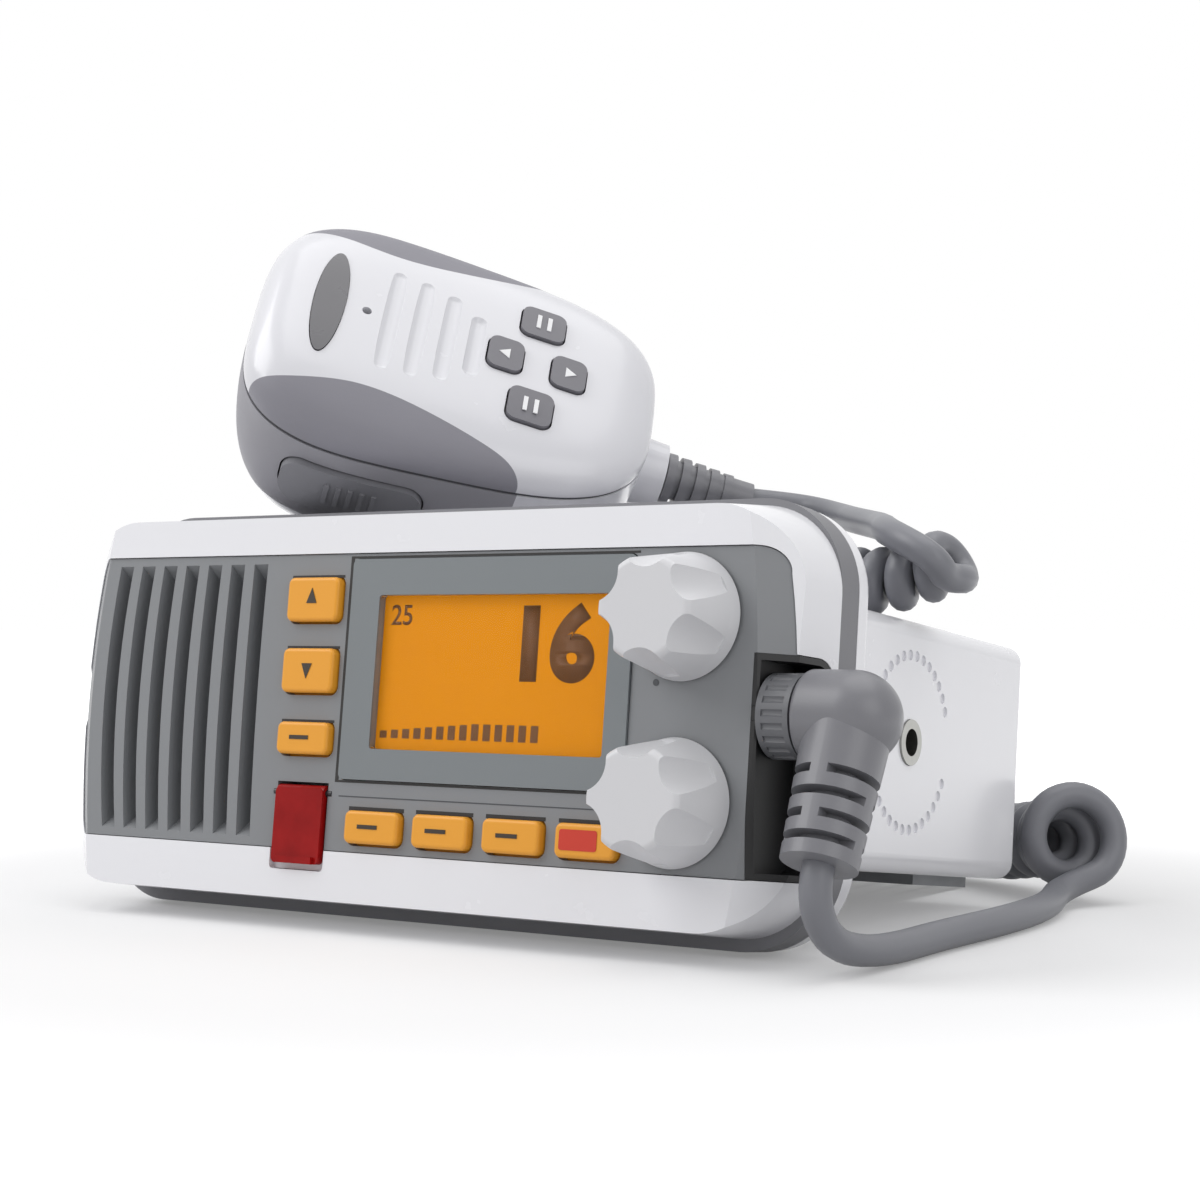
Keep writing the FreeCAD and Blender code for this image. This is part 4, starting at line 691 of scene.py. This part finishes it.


# millimetres on the radio's own axes, as are the screen's marks and the painted shade strips
keyMarks = {
    "column": -19.3, "front": -1.26, "half": 1.25, "tall": 2.9, "thick": 0.05,
    # body, height and turn of each arrow; place of each dash
    "arrows": {"upArrow": ("key_channel_up_cap", 19.2, 0), "downArrow": ("key_channel_down_cap", 5.9, 180)},
    "bars": {
        "key_enter_cap": (-19.9, -7.0), "key_row_1_cap": (-2.0, -22.9),
        "key_row_2_cap": (13.6, -22.9), "key_row_3_cap": (29.2, -22.9),
    },
    "barWide": 4.6, "barTall": 0.75,
}


def markKeys(marks):
    for name, (body, z, turn) in marks["arrows"].items():
        place = facing(marks["column"], marks["front"], z) @ Matrix.Rotation(math.radians(turn), 4, "Z")
        arrowMark(name, body, place, marks, "keyPrint")
    halfWide = marks["barWide"] / 2
    halfTall = marks["barTall"] / 2
    for body, (x, z) in marks["bars"].items():
        bm = bmesh.new()
        boxMark(bm, -halfWide, halfWide, -halfTall, halfTall)
        raiseMark(bm, marks["thick"])
        pieceFrom(bm, "dash." + body, facing(x, marks["front"], z), "keyPrint", body)


# where a mark drawn in its own X and Y lies on a sloping key of the microphone
def onMicKey(place, slope, turn=0.0):
    tipped = Matrix.Rotation(math.radians(slope), 4, "Y") @ Matrix.Rotation(math.radians(turn), 4, "Z")
    return micPlace @ Matrix.Translation(place) @ tipped


# millimetres on the microphone's own axes
micMarks = {
    "slope": 3.7, "half": 1.35, "tall": 2.3, "thick": 0.22,
    "arrows": {
        "headArrow": ("mic_key_left_cap", 8.6, 9.28, 90),
        "tailArrow": ("mic_key_right_cap", 22.2, 8.4, -90),
    },
    "bars": {"mic_key_top_cap": (15.4, 12.2, 8.72), "mic_key_bottom_cap": (15.4, -12.2, 8.72)},
    "barLong": 3.8, "barWide": 0.9, "barApart": 2.3,
}


def markMicKeys(marks):
    for name, (body, u, w, turn) in marks["arrows"].items():
        place = onMicKey((u, 0, w), marks["slope"], turn)
        arrowMark(name, body, place, marks, "whitePrint")
    halfWide = marks["barWide"] / 2
    halfLong = marks["barLong"] / 2
    for body, place in marks["bars"].items():
        bm = bmesh.new()
        for side in (-0.5, 0.5):
            middle = side * marks["barApart"]
            boxMark(bm, middle - halfWide, middle + halfWide, -halfLong, halfLong)
        raiseMark(bm, marks["thick"])
        pieceFrom(bm, "dashes." + body, onMicKey(place, marks["slope"]), "whitePrint", body)


lettering = {"size": 10.0, "weld": 0.002}


# plain digits, set flat and stretched into a given place on the screen
def fontMark(name, words, left, low, wide, tall, bold, y, thick):
    letters = bpy.data.curves.new(name + "Letters", "FONT")
    letters.body = words
    letters.size = lettering["size"]
    letters.offset = bold
    drawn = bpy.data.objects.new(name + "Letters", letters)
    scene.collection.objects.link(drawn)
    flat = bpy.data.meshes.new_from_object(drawn)
    bpy.data.objects.remove(drawn)
    bm = bmesh.new()
    bm.from_mesh(flat)
    bpy.data.meshes.remove(flat)
    xs = [v.co.x for v in bm.verts]
    ys = [v.co.y for v in bm.verts]
    bmesh.ops.translate(bm, verts=bm.verts, vec=(-min(xs), -min(ys), 0))
    grow = (wide / (max(xs) - min(xs)), tall / (max(ys) - min(ys)), 1)
    bmesh.ops.scale(bm, verts=bm.verts, vec=grow)
    bmesh.ops.remove_doubles(bm, verts=bm.verts, dist=lettering["weld"])
    raiseMark(bm, thick)
    pieceFrom(bm, name, facing(left, y, low), "screenPrint", "radio")


screenMarks = {
    "front": 1.97, "thick": 0.04,
    "digits": {
        "channelDigits": {"words": "16", "left": 27.6, "low": 4.2, "wide": 15.6, "tall": 14.2, "bold": 0.5},
        "powerDigits": {"words": "25", "left": -2.2, "low": 14.4, "wide": 4.8, "tall": 3.8, "bold": 0.1},
    },
    # the first bar is a share of the full height, which is reached after some bars
    "bars": {
        "left": -3.0, "low": -6.4, "count": 14, "pitch": 2.6, "wide": 1.6, "tall": 3.0,
        "firstShare": 0.45, "rising": 8,
    },
}
redPatch = {
    "x": 44.2, "z": -22.9, "wide": 7.8, "tall": 3.6, "front": -1.24, "corner": 0.5,
    "cornerSteps": 4, "thick": 0.04,
}
volumeDot = {"x": 57.0, "z": 4.5, "front": 0.37, "radius": 0.6, "sides": 20, "thick": 0.04}
# a thin dark line under the labels where a groove runs: the groove's shade, painted on
grooveShadeLine = {"left": -10.5, "right": 51.5, "z": -17.6, "tall": 0.22, "front": 0.385, "thick": 0.03}
# painted shade on the control face: dark strips for the shadow in the recess along three sides of the display
# frame, widest on its left, and for the shadow in the gap above each key
recessShadeStrips = {
    "front": 0.385, "thick": 0.03,
    # left, right, low and high of each strip
    "frame": [
        (-11.65, -10.85, -14.95, 27.15), (-10.85, 52.35, 26.75, 27.15), (-10.85, 52.35, -14.95, -14.55),
    ],
    "keyHalf": 6.4, "keyLift": 0.03,
    # middle, top of the key and height of the painted shade strip
    "keys": [
        (-19.3, 23.15, 0.5), (-19.3, 9.75, 0.5), (-19.3, -4.1, 0.5), (-1.4, -20.0, 0.7),
        (14.2, -20.0, 0.7), (29.8, -20.0, 0.7), (45.4, -20.0, 0.7),
    ],
}
# the nose's white floor in the notch behind the flap's foot, from front to back
flapSill = {"x": -19.3, "half": 6.4, "low": -31.5, "high": -27.8, "front": 1.4, "back": 2.85}


def drawLevelBars(bars, y, thick):
    bm = bmesh.new()
    for i in range(bars["count"]):
        left = i * bars["pitch"]
        share = bars["firstShare"] + (1 - bars["firstShare"]) * min(1, i / bars["rising"])
        boxMark(bm, left, left + bars["wide"], 0, bars["tall"] * share)
    raiseMark(bm, thick)
    pieceFrom(bm, "levelBars", facing(bars["left"], y, bars["low"]), "screenPrint", "radio")


def drawRedPatch(mark):
    bm = bmesh.new()
    boxMark(bm, -mark["wide"] / 2, mark["wide"] / 2, -mark["tall"] / 2, mark["tall"] / 2)
    bmesh.ops.bevel(
        bm, geom=bm.verts[:], offset=mark["corner"], offset_type="OFFSET", affect="VERTICES",
        segments=mark["cornerSteps"], profile=0.5, material=-1,
    )
    raiseMark(bm, mark["thick"])
    place = facing(mark["x"], mark["front"], mark["z"])
    pieceFrom(bm, "redPatch", place, "redPrint", "key_row_4_cap")


def drawVolumeDot(mark):
    bm = bmesh.new()
    bmesh.ops.create_circle(bm, cap_ends=True, segments=mark["sides"], radius=mark["radius"])
    raiseMark(bm, mark["thick"])
    place = facing(mark["x"], mark["front"], mark["z"])
    pieceFrom(bm, "volumeDot", place, "printAndGrooveShade", "radio")


# draws the groove's painted shade as a thin dark strip
def drawGrooveShadeLine(mark):
    bm = bmesh.new()
    boxMark(bm, mark["left"], mark["right"], 0, mark["tall"])
    raiseMark(bm, mark["thick"])
    pieceFrom(bm, "grooveShadeLine", facing(0, mark["front"], mark["z"]), "printAndGrooveShade", "radio")


# lays the dark strips of painted shade round the display frame and above the keys
def drawRecessShade(shadeStrips):
    bm = bmesh.new()
    for left, right, low, high in shadeStrips["frame"]:
        boxMark(bm, left, right, low, high)
    for x, top, tall in shadeStrips["keys"]:
        low = top + shadeStrips["keyLift"]
        boxMark(bm, x - shadeStrips["keyHalf"], x + shadeStrips["keyHalf"], low, low + tall)
    raiseMark(bm, shadeStrips["thick"])
    pieceFrom(bm, "recessShadeStrips", facing(0, shadeStrips["front"], 0), "paintedGapShade", "radio")


def layFlapSill(sill):
    bm = bmesh.new()
    boxMark(bm, -sill["half"], sill["half"], sill["low"], sill["high"])
    raiseMark(bm, sill["back"] - sill["front"])
    pieceFrom(bm, "flapSill", facing(sill["x"], sill["back"], 0), "whiteShell", "radio")


drawRecessShade(recessShadeStrips)
layFlapSill(flapSill)
markKeys(keyMarks)
markMicKeys(micMarks)
for digitsName, values in screenMarks["digits"].items():
    fontMark(digitsName, y=screenMarks["front"], thick=screenMarks["thick"], **values)
drawLevelBars(screenMarks["bars"], screenMarks["front"], screenMarks["thick"])
drawRedPatch(redPatch)
drawVolumeDot(volumeDot)
drawGrooveShadeLine(grooveShadeLine)
print("marks printed")

# the floor glows white from farReach on, and less near the radio, so that its shadow shows
studio = {
    "nearGlow": 0.22, "farGlow": 1.0, "nearReach": 0.13, "farReach": 0.36,
    "floorTone": 0.66, "floorBlue": 1.01, "floorHalf": 6.0, "skyLevel": 0.48,
}


# 1 where the camera looks, also in a reflection or through something clear, and 0 for other light
def lookedAt(tree):
    ray = addNode(tree, "ShaderNodeLightPath")
    direct = addMath(tree, "MAXIMUM", ray.outputs["Is Camera Ray"], ray.outputs["Is Glossy Ray"])
    return addMath(tree, "MAXIMUM", direct, ray.outputs["Is Transmission Ray"])


def makeFloor(values):
    bm = bmesh.new()
    bmesh.ops.create_grid(bm, x_segments=1, y_segments=1, size=values["floorHalf"])
    mesh = bpy.data.meshes.new("studioFloor")
    bm.to_mesh(mesh)
    bm.free()
    floor = bpy.data.objects.new("studioFloor", mesh)
    scene.collection.objects.link(floor)
    material = bpy.data.materials.new("paleFloor")
    material.use_nodes = True
    tree = material.node_tree
    tree.nodes.clear()
    diffuse = addNode(tree, "ShaderNodeBsdfDiffuse")
    grey = values["floorTone"]
    diffuse.inputs["Color"].default_value = (grey, grey, grey * values["floorBlue"], 1)
    glow = addNode(tree, "ShaderNodeEmission")
    away = addNode(tree, "ShaderNodeVectorMath", operation="LENGTH")
    tree.links.new(objectPlace(tree), away.inputs[0])
    fade = addNode(tree, "ShaderNodeMapRange", interpolation_type="SMOOTHSTEP")
    fade.inputs["From Min"].default_value = values["nearReach"]
    fade.inputs["From Max"].default_value = values["farReach"]
    fade.inputs["To Min"].default_value = values["nearGlow"]
    fade.inputs["To Max"].default_value = values["farGlow"]
    tree.links.new(away.outputs["Value"], fade.inputs["Value"])
    strength = addMath(tree, "MULTIPLY", lookedAt(tree), fade.outputs["Result"])
    tree.links.new(strength, glow.inputs["Strength"])
    both = addNode(tree, "ShaderNodeAddShader")
    output = addNode(tree, "ShaderNodeOutputMaterial")
    tree.links.new(diffuse.outputs[0], both.inputs[0])
    tree.links.new(glow.outputs[0], both.inputs[1])
    tree.links.new(both.outputs[0], output.inputs["Surface"])
    mesh.materials.append(material)


def makeSky(values):
    world = bpy.data.worlds.new("studioSky")
    scene.world = world
    world.use_nodes = True
    tree = world.node_tree
    back = tree.nodes["Background"]
    back.inputs["Color"].default_value = (1, 1, 1, 1)
    level = scaled(tree, lookedAt(tree), 1 - values["skyLevel"], values["skyLevel"])
    tree.links.new(level, back.inputs["Strength"])


lamps = {
    "keySoftbox": {"place": (-0.75, -0.65, 0.95), "size": 0.9, "power": 9.0},
    "topSoftbox": {"place": (0.15, 0.15, 1.15), "size": 1.0, "power": 4.8},
    "sideSoftbox": {"place": (1.0, -0.35, 0.55), "size": 0.7, "power": 2.4},
}


def makeLamps(setup, target=(0, 0, 0.06)):
    for name, values in setup.items():
        light = bpy.data.lights.new(name, "AREA")
        light.shape = "SQUARE"
        light.size = values["size"]
        light.energy = values["power"]
        lamp = bpy.data.objects.new(name, light)
        scene.collection.objects.link(lamp)
        lamp.location = values["place"]
        toward = Vector(target) - lamp.location
        lamp.rotation_euler = toward.to_track_quat("-Z", "Y").to_euler()


makeFloor(studio)
makeSky(studio)
makeLamps(lamps)
scene.view_settings.view_transform = "Standard"
print("studio lit")
